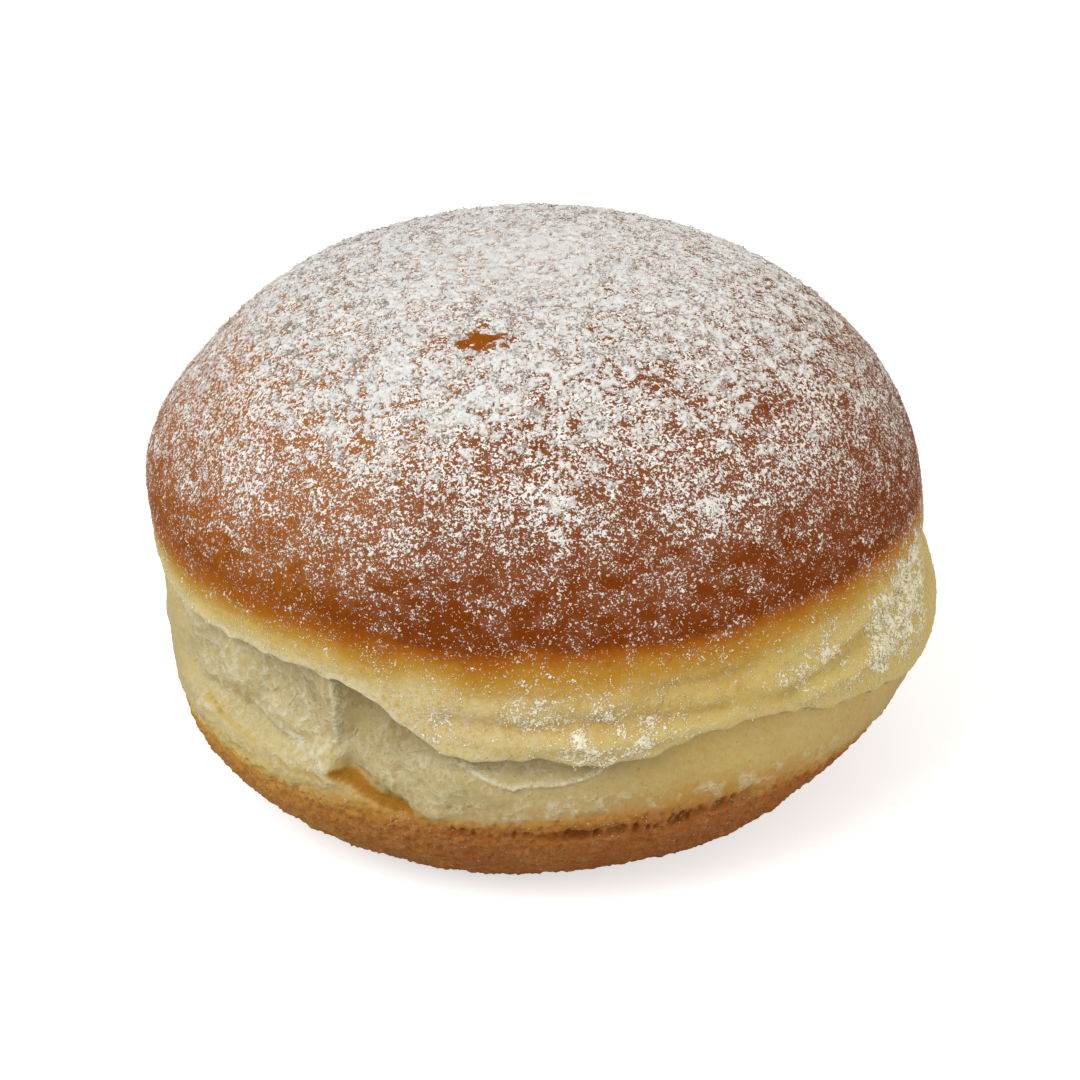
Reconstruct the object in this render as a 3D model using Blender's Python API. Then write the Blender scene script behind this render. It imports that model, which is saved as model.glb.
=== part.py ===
"""A berliner doughnut: one solid of fried yeast dough, modelled in metres with +Z up.

The origin is on the flat that the doughnut rests on. A bearing is an angle in degrees round the
upright axis, 0 at the front (-Y) and 90 at the right (+X). The dough is a soft drum with a domed
crown. Round its waist the upper skin ends in a lip, below the lip the paler crumb stands back and
is torn open at the front left, and below the crumb the rim of the bottom crust comes out again.
"""

import math

import bmesh
import bpy
import numpy as np
from mathutils import Vector, noise

# Driving dimensions of the dough's outer form
GIRTH_RADIUS = 0.0447
GIRTH_HEIGHT = 0.0279
HEIGHT = 0.0612
CROWN_POWER = 2.34
UNDERSIDE_POWER = 3.16
UNDERSIDE_SINK = 0.0021

# The middle of the dough, sideways and back: at the flat, where it is pulled to, and at the crown
BASE_LEAN = (-0.0016, -0.0028)
GIRTH_LEAN = (0.0016, 0.0014)
CROWN_LEAN = (-0.0012, 0.0023)

# Low swellings of the outer form: bearing, height, reach round, reach up, how far it stands out
SWELLS = (
    (-88.0, 0.0387, 38.0, 0.0080, 0.0019),
    (84.0, 0.0200, 26.0, 0.0060, 0.0022),
    (-75.0, 0.0168, 24.0, 0.0060, -0.0006),
    (62.0, 0.0049, 30.0, 0.0060, -0.0016),
    (15.0, 0.0470, 40.0, 0.0100, -0.0022),
    (165.0, 0.0340, 45.0, 0.0110, 0.0010),
)
LUMP_HEIGHT = 0.0004
LUMP_LENGTH = 0.0160
LUMPS_START = 0.0012

# The lip where the upper skin ends: its height, then what raises it, as centre bearing,
# half width, softness and rise
LIP_HEIGHT = 0.0207
LIP_RISES = (
    (-68.0, 48.5, 7.0, 0.0074),
    (30.0, 11.5, 4.5, 0.0022),
    (-1.0, 3.5, 3.0, 0.0012),
    (88.0, 28.0, 9.0, -0.0030),
    (150.0, 20.0, 10.0, 0.0030),
    (-152.0, 12.0, 8.0, 0.0022),
)
LIP_THICKNESS = 0.0010

# The crumb below the lip: how far it stands back, then where it stands back further
CRUMB_INSET = 0.0005
CRUMB_HOLLOWS = (
    (-42.0, 24.0, 7.0, 0.0020),
    (-24.0, 7.0, 4.0, 0.0013),
    (2.0, 16.0, 6.0, 0.0012),
    (36.0, 18.0, 7.0, 0.0007),
    (178.0, 40.0, 12.0, 0.0012),
)
UNDERCUT = 0.0006
UNDERCUT_INSET = 0.0012
FOOT_INSET = 0.0002
LEDGE_HEIGHT = 0.0172
LEDGE_SPAN = (-52.0, 26.0, 6.0)
LEDGE_STEP = 0.0014
FOLD_HEIGHT = 0.0192
FOLD_SPAN = (-4.0, 11.0, 3.0)
FOLD_DEPTH = 0.0009
TORN_RELIEF = 0.0008
TORN_LENGTH = 0.0038

# Folds of the skin above the lip and of the torn crumb below it: a line from one bearing and
# height to another, half the fold's width, and how deep it goes (below 0 it stands out)
SKIN_FOLDS = (
    (3.0, 0.0262, 16.0, 0.0260, 0.0010, 0.0005),
    (15.0, 0.0286, 31.0, 0.0288, 0.0011, 0.0005),
    (46.0, 0.0262, 62.0, 0.0284, 0.0012, 0.0007),
    (0.0, 0.0238, 20.0, 0.0240, 0.0011, -0.0004),
    (23.0, 0.0270, 36.0, 0.0268, 0.0012, -0.0004),
    (40.0, 0.0244, 66.0, 0.0240, 0.0012, -0.0006),
    (70.0, 0.0290, 100.0, 0.0270, 0.0016, 0.0008),
    (150.0, 0.0290, 200.0, 0.0270, 0.0016, 0.0005),
)
CRUMB_FOLDS = (
    (-53.0, 0.0250, -52.0, 0.0220, 0.0026, -0.0009),
    (-43.0, 0.0252, -38.0, 0.0245, 0.0022, 0.0009),
    (-33.0, 0.0260, -33.0, 0.0190, 0.0018, -0.0010),
    (-25.0, 0.0250, -20.0, 0.0215, 0.0028, 0.0011),
    (-44.0, 0.0205, -31.0, 0.0176, 0.0011, -0.0006),
    (-57.0, 0.0183, -46.0, 0.0164, 0.0009, 0.0005),
    (-29.0, 0.0168, -20.0, 0.0138, 0.0013, 0.0015),
    (-22.0, 0.0185, -6.0, 0.0170, 0.0018, -0.0005),
    (158.0, 0.0205, 172.0, 0.0180, 0.0016, 0.0009),
)

# The rim of the bottom crust with its waves round the dough, as count and height, and where a
# crevice opens above it
RIM_HEIGHT = 0.0126
RIM_WAVES = ((5, 0.0005), (11, 0.00025))
CREVICE_SPANS = ((12.0, 17.0, 4.0, 0.0016), (-24.0, 5.0, 2.5, 0.0018), (-7.0, 6.0, 3.0, 0.0009))
CREVICE_WIDTH = 0.0012
CREVICE_FOOT_SHARE = 0.6

# How finely the solid is divided
SECTORS = 110
DOME_ROWS = 23
DOME_CROWDING = 0.5
NOSE_ROWS = 3
CRUMB_ROWS = 10
CREVICE_ROWS = 3
BASE_ROWS = 6
FLAT_SHARES = (0.92, 0.5, 0.0)
SEWING_DISTANCE = 1e-6
SHARP_ANGLE = math.radians(50.0)

DOUGH_COLOUR = (0.62, 0.33, 0.12, 1.0)
DOUGH_ROUGHNESS = 0.6


def window(bearing, centre, half_width, softness):
    """1 round a bearing and 0 away from it, with soft ends."""
    away = np.abs((bearing - centre + 180.0) % 360.0 - 180.0)
    return 0.5 * (1.0 + np.tanh((half_width - away) / softness))


def raised(level, spans, bearing):
    """A level with each span's rise added within its window."""
    rises = (rise * window(bearing, centre, half, soft) for centre, half, soft, rise in spans)
    return level + sum(rises)


def smooth_step(value):
    """0 below 0, 1 above 1, and a smooth rise between."""
    share = np.clip(value, 0.0, 1.0)
    return share * share * (3.0 - 2.0 * share)


def height_at_turn(turn):
    """Height on the outer form, where turn goes from 0 at the crown to a half turn below."""
    level = np.cos(turn)
    above = (HEIGHT - GIRTH_HEIGHT) * np.abs(level) ** (2.0 / CROWN_POWER)
    below = (GIRTH_HEIGHT + UNDERSIDE_SINK) * np.abs(level) ** (2.0 / UNDERSIDE_POWER)
    return GIRTH_HEIGHT + np.where(level > 0.0, above, -below)


def turn_at_height(height):
    """The inverse of height_at_turn."""
    above = (height - GIRTH_HEIGHT) / (HEIGHT - GIRTH_HEIGHT)
    below = (GIRTH_HEIGHT - height) / (GIRTH_HEIGHT + UNDERSIDE_SINK)
    up = np.clip(above, 0.0, 1.0) ** (CROWN_POWER / 2.0)
    down = np.clip(below, 0.0, 1.0) ** (UNDERSIDE_POWER / 2.0)
    return np.arccos(np.clip(up - down, -1.0, 1.0))


def outer_radius(bearing, height):
    """Radius of the outer form, with its swellings."""
    turn = turn_at_height(height)
    power = np.where(height > GIRTH_HEIGHT, CROWN_POWER, UNDERSIDE_POWER)
    radius = GIRTH_RADIUS * np.sin(turn) ** (2.0 / power)
    fade = np.sin(turn)
    for centre, level, round_reach, up_reach, amount in SWELLS:
        away = (bearing - centre + 180.0) % 360.0 - 180.0
        near = (away / round_reach) ** 2 + ((height - level) / up_reach) ** 2
        radius = radius + amount * fade * np.exp(-near)
    return radius


def folded(bearing, height, folds):
    """How deep the folds go at a place."""
    depth = 0.0
    for bearing_a, height_a, bearing_b, height_b, half_width, fold_depth in folds:
        away = np.radians((bearing - bearing_a + 180.0) % 360.0 - 180.0) * GIRTH_RADIUS
        along = math.radians(bearing_b - bearing_a) * GIRTH_RADIUS
        rise = height_b - height_a
        up = height - height_a
        share = np.clip((away * along + up * rise) / (along**2 + rise**2), 0.0, 1.0)
        near = (away - share * along) ** 2 + (up - share * rise) ** 2
        depth = depth + fold_depth * np.exp(-near / half_width**2)
    return depth


def skin_radius(bearing, height):
    """Radius of the outer form with the folds of its skin."""
    return outer_radius(bearing, height) - folded(bearing, height, SKIN_FOLDS)


def centre_line(height, axis):
    """How far the middle of the dough leans at a height, to the right (axis 0) or back (axis 1)."""
    up = height / HEIGHT
    down = 1.0 - up
    ends = BASE_LEAN[axis] * down * down + CROWN_LEAN[axis] * up * up
    return ends + 2.0 * GIRTH_LEAN[axis] * up * down


def lip_edge(bearing):
    """Height of the lip."""
    return raised(LIP_HEIGHT, LIP_RISES, bearing)


def rim_edge(bearing):
    """Height of the bottom crust's rim."""
    angle = np.radians(bearing)
    return RIM_HEIGHT + sum(swing * np.sin(count * angle) for count, swing in RIM_WAVES)


def crumb_inset(bearing, height):
    """How far the crumb stands back from the outer form."""
    depth = raised(CRUMB_INSET, CRUMB_HOLLOWS, bearing)
    ledge = window(bearing, *LEDGE_SPAN)
    top = lip_edge(bearing) * (1.0 - ledge) + (LEDGE_HEIGHT + LEDGE_STEP) * ledge
    bottom = rim_edge(bearing) * (1.0 - ledge) + (LEDGE_HEIGHT - LEDGE_STEP) * ledge
    inset = FOOT_INSET + (depth - FOOT_INSET) * smooth_step((height - bottom) / (top - bottom))
    fold = smooth_step((height - FOLD_HEIGHT) / LEDGE_STEP + 0.5)
    return inset + FOLD_DEPTH * window(bearing, *FOLD_SPAN) * (fold - 0.5)


def dome_rows(bearing):
    """Radius and height of each row from the crown to just above the lip's nose."""
    last = turn_at_height(lip_edge(bearing) + LIP_THICKNESS / 2.0)
    even = np.linspace(0.0, 1.0, DOME_ROWS + 1)[:, None]
    share = even + DOME_CROWDING * np.sin(math.pi * even) / math.pi
    height = height_at_turn(share * last[None, :])
    return skin_radius(bearing, height), height


def nose_rows(bearing):
    """The half round of the lip, from its outer face to its underside."""
    edge = lip_edge(bearing)
    middle = skin_radius(bearing, edge) - LIP_THICKNESS / 2.0
    angle = np.linspace(0.0, math.pi, NOSE_ROWS + 2)[1:, None]
    radius = middle + LIP_THICKNESS / 2.0 * np.cos(angle)
    height = edge + LIP_THICKNESS / 2.0 * (1.0 - np.sin(angle))
    return radius, height


def crumb_rows(bearing):
    """The crumb's wall, from the undercut behind the lip down to the crevice."""
    top = lip_edge(bearing) + UNDERCUT
    bottom = rim_edge(bearing) + CREVICE_WIDTH
    share = np.linspace(0.0, 1.0, CRUMB_ROWS + 1)[:, None]
    height = top + (bottom - top) * share
    inset = crumb_inset(bearing, height) + folded(bearing, height, CRUMB_FOLDS)
    inset = np.maximum(inset, UNDERCUT_INSET * (share == 0.0))
    return outer_radius(bearing, height) - inset, height


def crevice_rows(bearing):
    """The groove between the crumb and the bottom crust."""
    level = rim_edge(bearing)
    height = level + np.linspace(CREVICE_WIDTH / 2.0, -CREVICE_WIDTH / 2.0, CREVICE_ROWS)[:, None]
    share = np.linspace(1.0, CREVICE_FOOT_SHARE, CREVICE_ROWS)[:, None]
    depth = raised(FOOT_INSET, CREVICE_SPANS, bearing)
    return outer_radius(bearing, height) - depth * share, height


def base_rows(bearing):
    """The bottom crust, from its rim round to the flat that the doughnut rests on."""
    first = turn_at_height(rim_edge(bearing) - CREVICE_WIDTH)
    last = turn_at_height(0.0)
    share = np.linspace(0.0, 1.0, BASE_ROWS + 1)[:, None]
    height = height_at_turn(first + (last - first) * share)
    height[-1] = 0.0
    radius = outer_radius(bearing, height)
    flat = np.array(FLAT_SHARES)[:, None] * radius[-1]
    return np.concatenate((radius, flat)), np.concatenate((height, np.zeros_like(flat)))


def lumped(points, torn):
    """Each point moved in or out by the dough's lumps and, where the crumb is torn, by its crags."""
    core = Vector((0.0, 0.0, GIRTH_HEIGHT))
    moved = np.empty_like(points)
    for index, (point, share) in enumerate(zip(points, torn)):
        place = Vector(point)
        out = (place - core).normalized()
        swing = LUMP_HEIGHT * noise.noise(place / LUMP_LENGTH)
        swing += share * TORN_RELIEF * noise.noise(place / TORN_LENGTH)
        rests = smooth_step(place.z / LUMPS_START)
        moved[index] = place + out * swing * rests
    return moved


def grid_points():
    """Every point of the surface, row by row from the crown to the middle of the flat."""
    bearing = np.linspace(-180.0, 180.0, SECTORS + 1)
    zones = (dome_rows, nose_rows, crumb_rows, crevice_rows, base_rows)
    parts = [zone(bearing) for zone in zones]
    radius = np.concatenate([np.broadcast_to(r, z.shape) for r, z in parts])
    height = np.concatenate([z for _, z in parts])
    torn = np.concatenate([np.full(z.shape, zone is crumb_rows) for zone, (_, z) in zip(zones, parts)])
    angle = np.radians(bearing)
    x = centre_line(height, 0) + radius * np.sin(angle)
    y = centre_line(height, 1) - radius * np.cos(angle)
    points = np.stack((x, y, height), axis=-1)
    flat = lumped(points.reshape(-1, 3), torn.reshape(-1).astype(float))
    return flat.reshape(points.shape)


def dough_mesh():
    """The closed skin of the doughnut: a sheet wrapped round, sewn at its seam and its poles."""
    points = grid_points()
    rows, columns = points.shape[:2]
    sheet = bmesh.new()
    bmesh.ops.create_grid(sheet, x_segments=columns - 1, y_segments=rows - 1, size=1.0)
    for vertex in sheet.verts:
        column = round((vertex.co.x + 1.0) / 2.0 * (columns - 1))
        row = round((1.0 - vertex.co.y) / 2.0 * (rows - 1))
        vertex.co = points[row, column]
    bmesh.ops.remove_doubles(sheet, verts=sheet.verts, dist=SEWING_DISTANCE)
    bmesh.ops.recalc_face_normals(sheet, faces=sheet.faces)
    mesh = bpy.data.meshes.new("berliner")
    sheet.to_mesh(mesh)
    sheet.free()
    mesh.shade_smooth()
    mesh.set_sharp_from_angle(angle=SHARP_ANGLE)
    return mesh


def dough_material():
    """Fried dough, golden brown and matt."""
    material = bpy.data.materials.new("fried_dough")
    material.use_nodes = True
    shader = material.node_tree.nodes["Principled BSDF"]
    shader.inputs["Base Color"].default_value = DOUGH_COLOUR
    shader.inputs["Roughness"].default_value = DOUGH_ROUGHNESS
    shader.inputs["Metallic"].default_value = 0.0
    return material


def main():
    """Clears the scene and builds the doughnut."""
    for old in list(bpy.data.objects):
        bpy.data.objects.remove(old)
    berliner = bpy.data.objects.new("berliner", dough_mesh())
    berliner.data.materials.append(dough_material())
    bpy.context.scene.collection.objects.link(berliner)


main()
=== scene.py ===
"""The looks of a berliner doughnut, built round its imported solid.

Everything is in metres with +Z up, and the origin is on the flat that the doughnut rests on. A
bearing is an angle in degrees round the upright axis, 0 at the front (-Y) and 90 at the right (+X).
The dough has the solid's own form at a finer scale, in three pieces that meet out of sight: the
upper skin, the torn crumb under its lip, and the bottom crust. Icing sugar and fine strands of
dough are pieces of their own.
"""

import logging
import math
from dataclasses import dataclass, field
from enum import Enum

import bmesh
import bpy
import numpy as np
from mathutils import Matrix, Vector, noise


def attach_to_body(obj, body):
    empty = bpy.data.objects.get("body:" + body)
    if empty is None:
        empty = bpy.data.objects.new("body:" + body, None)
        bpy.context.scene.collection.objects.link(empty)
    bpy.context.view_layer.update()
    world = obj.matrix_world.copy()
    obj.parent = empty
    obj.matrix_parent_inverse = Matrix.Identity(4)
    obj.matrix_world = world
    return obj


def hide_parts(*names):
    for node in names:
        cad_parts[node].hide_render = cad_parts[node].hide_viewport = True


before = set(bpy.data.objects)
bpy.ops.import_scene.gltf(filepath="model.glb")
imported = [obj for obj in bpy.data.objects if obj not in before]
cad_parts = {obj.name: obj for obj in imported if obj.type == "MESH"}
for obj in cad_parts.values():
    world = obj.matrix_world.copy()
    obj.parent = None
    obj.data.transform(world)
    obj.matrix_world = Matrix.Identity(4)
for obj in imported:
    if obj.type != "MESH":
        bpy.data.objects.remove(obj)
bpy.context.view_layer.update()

NODE = "berliner"
BODY = "root"
LOG = logging.getLogger(NODE)
MM = 0.001
TINY = 1e-12
WAIST_RADIUS = 0.0430
LAYER_FALL = 0.55
KNOT_SHIFT = 17.0
HASH_PRIMES = (73856093, 19349663, 83492791)
HASH_SEED = 2654435
HASH_MIX = 1274126177

Array = np.ndarray
Pair = tuple[float, float]
Triple = tuple[float, float, float]
Colour = Triple
Piece = bpy.types.Object
Material = bpy.types.Material
Socket = bpy.types.NodeSocket


def smooth_step(value: Array) -> Array:
    """0 below 0, 1 above 1, and a smooth rise between."""
    share = np.clip(value, 0.0, 1.0)
    return share * share * (3.0 - 2.0 * share)


def bearing_away(bearing: Array, centre: float) -> Array:
    """Degrees from a centre bearing, from -180 to 180."""
    return (bearing - centre + 180.0) % 360.0 - 180.0


def cloud(points: Array, length: float, seed: int = 0) -> Array:
    """Soft noise from -1 to 1 with blobs of about the given length.

    Args:
        points: One row of x, y and z for each place.
        length: The distance between the noise's knots, in metres.
        seed: Chooses another pattern.

    Returns:
        One number for each place.
    """
    knots = points / length + KNOT_SHIFT * seed
    low = np.floor(knots)
    rise = smooth_step(knots - low)
    low = low.astype(np.int64)
    total = np.zeros(len(points))
    for corner in range(8):
        step = np.array([corner & 1, corner >> 1 & 1, corner >> 2 & 1])
        x, y, z = ((low + step) * HASH_PRIMES).T
        mixed = x ^ y ^ z ^ seed * HASH_SEED
        mixed = (mixed ^ mixed >> 13) * HASH_MIX & 0xFFFFFFFF
        mixed = (mixed ^ mixed >> 16) & 0xFFFF
        weight = np.prod(np.where(step, rise, 1.0 - rise), axis=1)
        total += weight * (mixed / 32767.5 - 1.0)
    return total


def layered_cloud(points: Array, length: float, seed: int = 0, layers: int = 3) -> Array:
    """Noise with finer noise on it, each layer half as long and LAYER_FALL as strong as the last.

    Args:
        points: One row of x, y and z for each place.
        length: The distance between the first layer's knots, in metres.
        seed: Chooses another pattern.
        layers: How many layers there are.

    Returns:
        One number for each place.
    """
    total = np.zeros(len(points))
    for layer in range(layers):
        total += LAYER_FALL**layer * cloud(points, length * 0.5**layer, seed + layer)
    return total


def unit(vectors: Array) -> Array:
    """Each row at a length of 1."""
    return vectors / np.maximum(np.linalg.norm(vectors, axis=1), TINY)[:, None]


@dataclass(frozen=True)
class Span:
    """A stretch of the dough's girth with soft ends, and how much something changes there."""

    centre: float
    half_width: float
    softness: float
    amount: float = 1.0

    def share(self, bearing: Array) -> Array:
        """1 inside the stretch, 0 away from it."""
        away = np.abs(bearing_away(bearing, self.centre))
        return 0.5 * (1.0 + np.tanh((self.half_width - away) / self.softness))


@dataclass(frozen=True)
class Swell:
    """A low swelling of the outer form."""

    bearing: float
    height: float
    reach_round: float
    reach_up: float
    amount: float

    def share(self, bearing: Array, height: Array) -> Array:
        """1 in the middle of the swelling and 0 away from it.

        Args:
            bearing: One bearing for each place.
            height: One height for each place.

        Returns:
            One share for each place.
        """
        round_share = bearing_away(bearing, self.bearing) / self.reach_round
        up_share = (height - self.height) / self.reach_up
        return np.exp(-(round_share**2) - up_share**2)


@dataclass(frozen=True)
class Line:
    """A fold or ridge of short straight runs over the dough, as pairs of a bearing and a height."""

    places: tuple[Pair, ...]
    half_width: float
    amount: float

    def share(self, bearing: Array, height: Array, radius: float = WAIST_RADIUS) -> Array:
        """1 on the line and 0 away from it.

        Args:
            bearing: One bearing for each place.
            height: One height for each place.
            radius: The dough's radius there, which turns bearings into lengths.

        Returns:
            One share for each place.
        """
        nearest = np.full(np.broadcast(bearing, height).shape, 1.0)
        for (bearing_from, height_from), (bearing_to, height_to) in zip(self.places, self.places[1:]):
            away = np.radians(bearing_away(bearing, bearing_from)) * radius
            along = math.radians(bearing_to - bearing_from) * radius
            rise = height_to - height_from
            up = height - height_from
            part = np.clip((away * along + up * rise) / (along**2 + rise**2), 0.0, 1.0)
            nearest = np.minimum(nearest, (away - part * along) ** 2 + (up - part * rise) ** 2)
        return np.exp(-nearest / self.half_width**2)


@dataclass(frozen=True)
class Spot:
    """A round place on the dough, by its x, y and z, where something changes."""

    place: Triple
    reach: float
    amount: float

    def share(self, points: Array) -> Array:
        """1 in the middle of the spot and 0 away from it."""
        return np.exp(-(((points - np.array(self.place)) / self.reach) ** 2).sum(axis=1))


def ring(bearing: float, height: float, radius: float, half_width: float, amount: float) -> Line:
    """A round line over the dough.

    Args:
        bearing: The bearing of its middle.
        height: The height of its middle.
        radius: Its radius.
        half_width: Half the width of the line.
        amount: How much something changes on it.

    Returns:
        The line, with ten runs and slightly taller than it is wide.
    """
    wide, tall = math.degrees(radius / WAIST_RADIUS), 1.15 * radius
    turns = np.linspace(0.0, 2.0 * math.pi, 11)
    places = tuple((bearing + wide * math.sin(t), height + tall * math.cos(t)) for t in turns)
    return Line(places, half_width, amount)


def added(marks: tuple, *where: object) -> Array:
    """The sum of what each mark (a span, line or spot) adds at each place."""
    return sum(mark.amount * mark.share(*where) for mark in marks)


def raised(level: float, spans: tuple[Span, ...], bearing: Array) -> Array:
    """A level with each span's amount added within it."""
    return level + added(spans, bearing)


@dataclass(frozen=True)
class DoughForm:
    """The doughnut's form, as its solid has it, with the finer relief that shows close up."""

    girth_radius: float = 0.0447
    girth_height: float = 0.0279
    height: float = 0.0612
    crown_power: float = 2.34
    underside_power: float = 3.16
    underside_sink: float = 0.0021
    base_lean: Pair = (-0.0016, -0.0028)
    girth_lean: Pair = (0.0016, 0.0014)
    crown_lean: Pair = (-0.0012, 0.0023)
    swells: tuple[Swell, ...] = (
        Swell(-88.0, 0.0387, 38.0, 0.0080, 0.0019), Swell(84.0, 0.0200, 26.0, 0.0060, 0.0022),
        Swell(-75.0, 0.0168, 24.0, 0.0060, -0.0006), Swell(62.0, 0.0049, 30.0, 0.0060, -0.0016),
        Swell(15.0, 0.0470, 40.0, 0.0100, -0.0022), Swell(165.0, 0.0340, 45.0, 0.0110, 0.0010),
    )
    lump_height: float = 0.0004
    lump_length: float = 0.0160
    lumps_start: float = 0.0012
    lip_height: float = 0.0207
    lip_rises: tuple[Span, ...] = (
        Span(-68.0, 48.5, 7.0, 0.0074), Span(30.0, 11.5, 4.5, 0.0022), Span(-1.0, 3.5, 3.0, 0.0012),
        Span(88.0, 28.0, 9.0, -0.0030), Span(150.0, 20.0, 10.0, 0.0030), Span(-152.0, 12.0, 8.0, 0.0022),
    )
    lip_thickness: float = 0.0010
    lip_wander: float = 0.000125
    lip_waves: tuple[Triple, ...] = ((37.0, 0.0, 1.0), (61.0, 1.0, 1.0), (97.0, 2.0, 0.7))
    crumb_depth: float = 0.0005
    crumb_hollows: tuple[Span, ...] = (
        Span(-42.0, 24.0, 7.0, 0.0020), Span(-24.0, 7.0, 4.0, 0.0013), Span(2.0, 16.0, 6.0, 0.0012),
        Span(36.0, 18.0, 7.0, 0.0007), Span(178.0, 40.0, 12.0, 0.0012),
    )
    foot_inset: float = 0.0002
    ledge_height: float = 0.0172
    ledge_span: Span = Span(-52.0, 26.0, 6.0)
    ledge_step: float = 0.0014
    fold_height: float = 0.0192
    fold_span: Span = Span(-4.0, 11.0, 3.0)
    fold_depth: float = 0.0005
    torn_relief: float = 0.0008
    torn_length: float = 0.0038
    skin_folds: tuple[Line, ...] = (
        Line(((3.0, 0.0262), (16.0, 0.0260)), 0.0010, 0.0005),
        Line(((15.0, 0.0286), (31.0, 0.0288)), 0.0011, 0.0005),
        Line(((46.0, 0.0262), (62.0, 0.0284)), 0.0012, 0.0007),
        Line(((0.0, 0.0238), (20.0, 0.0240)), 0.0011, -0.0004),
        Line(((23.0, 0.0270), (36.0, 0.0268)), 0.0012, -0.0004),
        Line(((40.0, 0.0244), (66.0, 0.0240)), 0.0012, -0.0006),
        Line(((70.0, 0.0290), (100.0, 0.0270)), 0.0016, 0.0008),
        Line(((150.0, 0.0290), (200.0, 0.0270)), 0.0016, 0.0005),
    )
    crumb_folds: tuple[Line, ...] = (
        Line(((-53.0, 0.0250), (-52.0, 0.0220)), 0.0026, -0.0009),
        Line(((-43.0, 0.0252), (-38.0, 0.0245)), 0.0022, 0.0009),
        Line(((-33.0, 0.0260), (-33.0, 0.0190)), 0.0018, -0.0010),
        Line(((-25.0, 0.0250), (-20.0, 0.0215)), 0.0028, 0.0011),
        Line(((-44.0, 0.0205), (-31.0, 0.0176)), 0.0011, -0.0006),
        Line(((-57.0, 0.0183), (-46.0, 0.0164)), 0.0009, 0.0005),
        Line(((-29.0, 0.0168), (-20.0, 0.0138)), 0.0013, 0.0015),
        Line(((-22.0, 0.0185), (-6.0, 0.0170)), 0.0018, -0.0005),
        Line(((158.0, 0.0205), (172.0, 0.0180)), 0.0016, 0.0009),
    )
    rim_height: float = 0.0126
    rim_waves: tuple[tuple[int, float], ...] = ((5, 0.0005), (11, 0.00025))
    crevice_spans: tuple[Span, ...] = (Span(12.0, 17.0, 4.0, 0.0016), Span(-7.0, 6.0, 3.0, 0.0009))

    def height_at_turn(self, turn: Array) -> Array:
        """Height on the outer form.

        Args:
            turn: 0 at the crown, a quarter turn at the girth and a half turn below.

        Returns:
            One height for each turn.
        """
        level = np.cos(turn)
        above = (self.height - self.girth_height) * np.abs(level) ** (2.0 / self.crown_power)
        depth = self.girth_height + self.underside_sink
        below = depth * np.abs(level) ** (2.0 / self.underside_power)
        return self.girth_height + np.where(level > 0.0, above, -below)

    def turn_at_height(self, height: Array) -> Array:
        """The inverse of height_at_turn.

        Args:
            height: One height for each place.

        Returns:
            One turn for each height.
        """
        above = (height - self.girth_height) / (self.height - self.girth_height)
        below = (self.girth_height - height) / (self.girth_height + self.underside_sink)
        up = np.clip(above, 0.0, 1.0) ** (self.crown_power / 2.0)
        down = np.clip(below, 0.0, 1.0) ** (self.underside_power / 2.0)
        return np.arccos(np.clip(up - down, -1.0, 1.0))

    def outer_radius(self, bearing: Array, height: Array) -> Array:
        """Radius of the outer form, with its swellings.

        Args:
            bearing: One bearing for each place.
            height: One height for each place.

        Returns:
            One radius for each place.
        """
        turn = self.turn_at_height(height)
        power = np.where(height > self.girth_height, self.crown_power, self.underside_power)
        radius = self.girth_radius * np.sin(turn) ** (2.0 / power)
        for swell in self.swells:
            radius = radius + swell.amount * np.sin(turn) * swell.share(bearing, height)
        return radius

    def folded(self, bearing: Array, height: Array, folds: tuple[Line, ...]) -> Array:
        """How deep the folds go at a place."""
        return added(folds, bearing, height, self.girth_radius)

    def skin_radius(self, bearing: Array, height: Array) -> Array:
        """Radius of the outer form with the folds of its skin."""
        return self.outer_radius(bearing, height) - self.folded(bearing, height, self.skin_folds)

    def lip_edge(self, bearing: Array) -> Array:
        """Height of the lip.

        Args:
            bearing: One bearing for each place.

        Returns:
            One height for each place.
        """
        angle = np.radians(bearing)
        wander = sum(swing * np.sin(count * angle + start) for count, start, swing in self.lip_waves)
        return raised(self.lip_height, self.lip_rises, bearing) + self.lip_wander * wander

    def rim_edge(self, bearing: Array) -> Array:
        """Height of the bottom crust's rim."""
        angle = np.radians(bearing)
        return self.rim_height + sum(swing * np.sin(count * angle) for count, swing in self.rim_waves)

    def crumb_inset(self, bearing: Array, height: Array) -> Array:
        """How far the crumb stands back from the outer form.

        Args:
            bearing: One bearing for each place.
            height: One height for each place.

        Returns:
            One depth for each place.
        """
        depth = raised(self.crumb_depth, self.crumb_hollows, bearing)
        ledge = self.ledge_span.share(bearing)
        above, below = self.ledge_height + self.ledge_step, self.ledge_height - self.ledge_step
        top = self.lip_edge(bearing) * (1.0 - ledge) + above * ledge
        bottom = self.rim_edge(bearing) * (1.0 - ledge) + below * ledge
        share = smooth_step((height - bottom) / (top - bottom))
        inset = self.foot_inset + (depth - self.foot_inset) * share
        step = smooth_step((height - self.fold_height) / self.ledge_step + 0.5)
        return inset + self.fold_depth * self.fold_span.share(bearing) * (step - 0.5)

    def centre_line(self, height: Array, axis: int) -> Array:
        """How far the middle of the dough leans at a height.

        Args:
            height: One height for each place.
            axis: 0 for the lean to the right and 1 for the lean to the back.

        Returns:
            One length for each place.
        """
        up = height / self.height
        down = 1.0 - up
        ends = self.base_lean[axis] * down * down + self.crown_lean[axis] * up * up
        return ends + 2.0 * self.girth_lean[axis] * up * down

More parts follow.
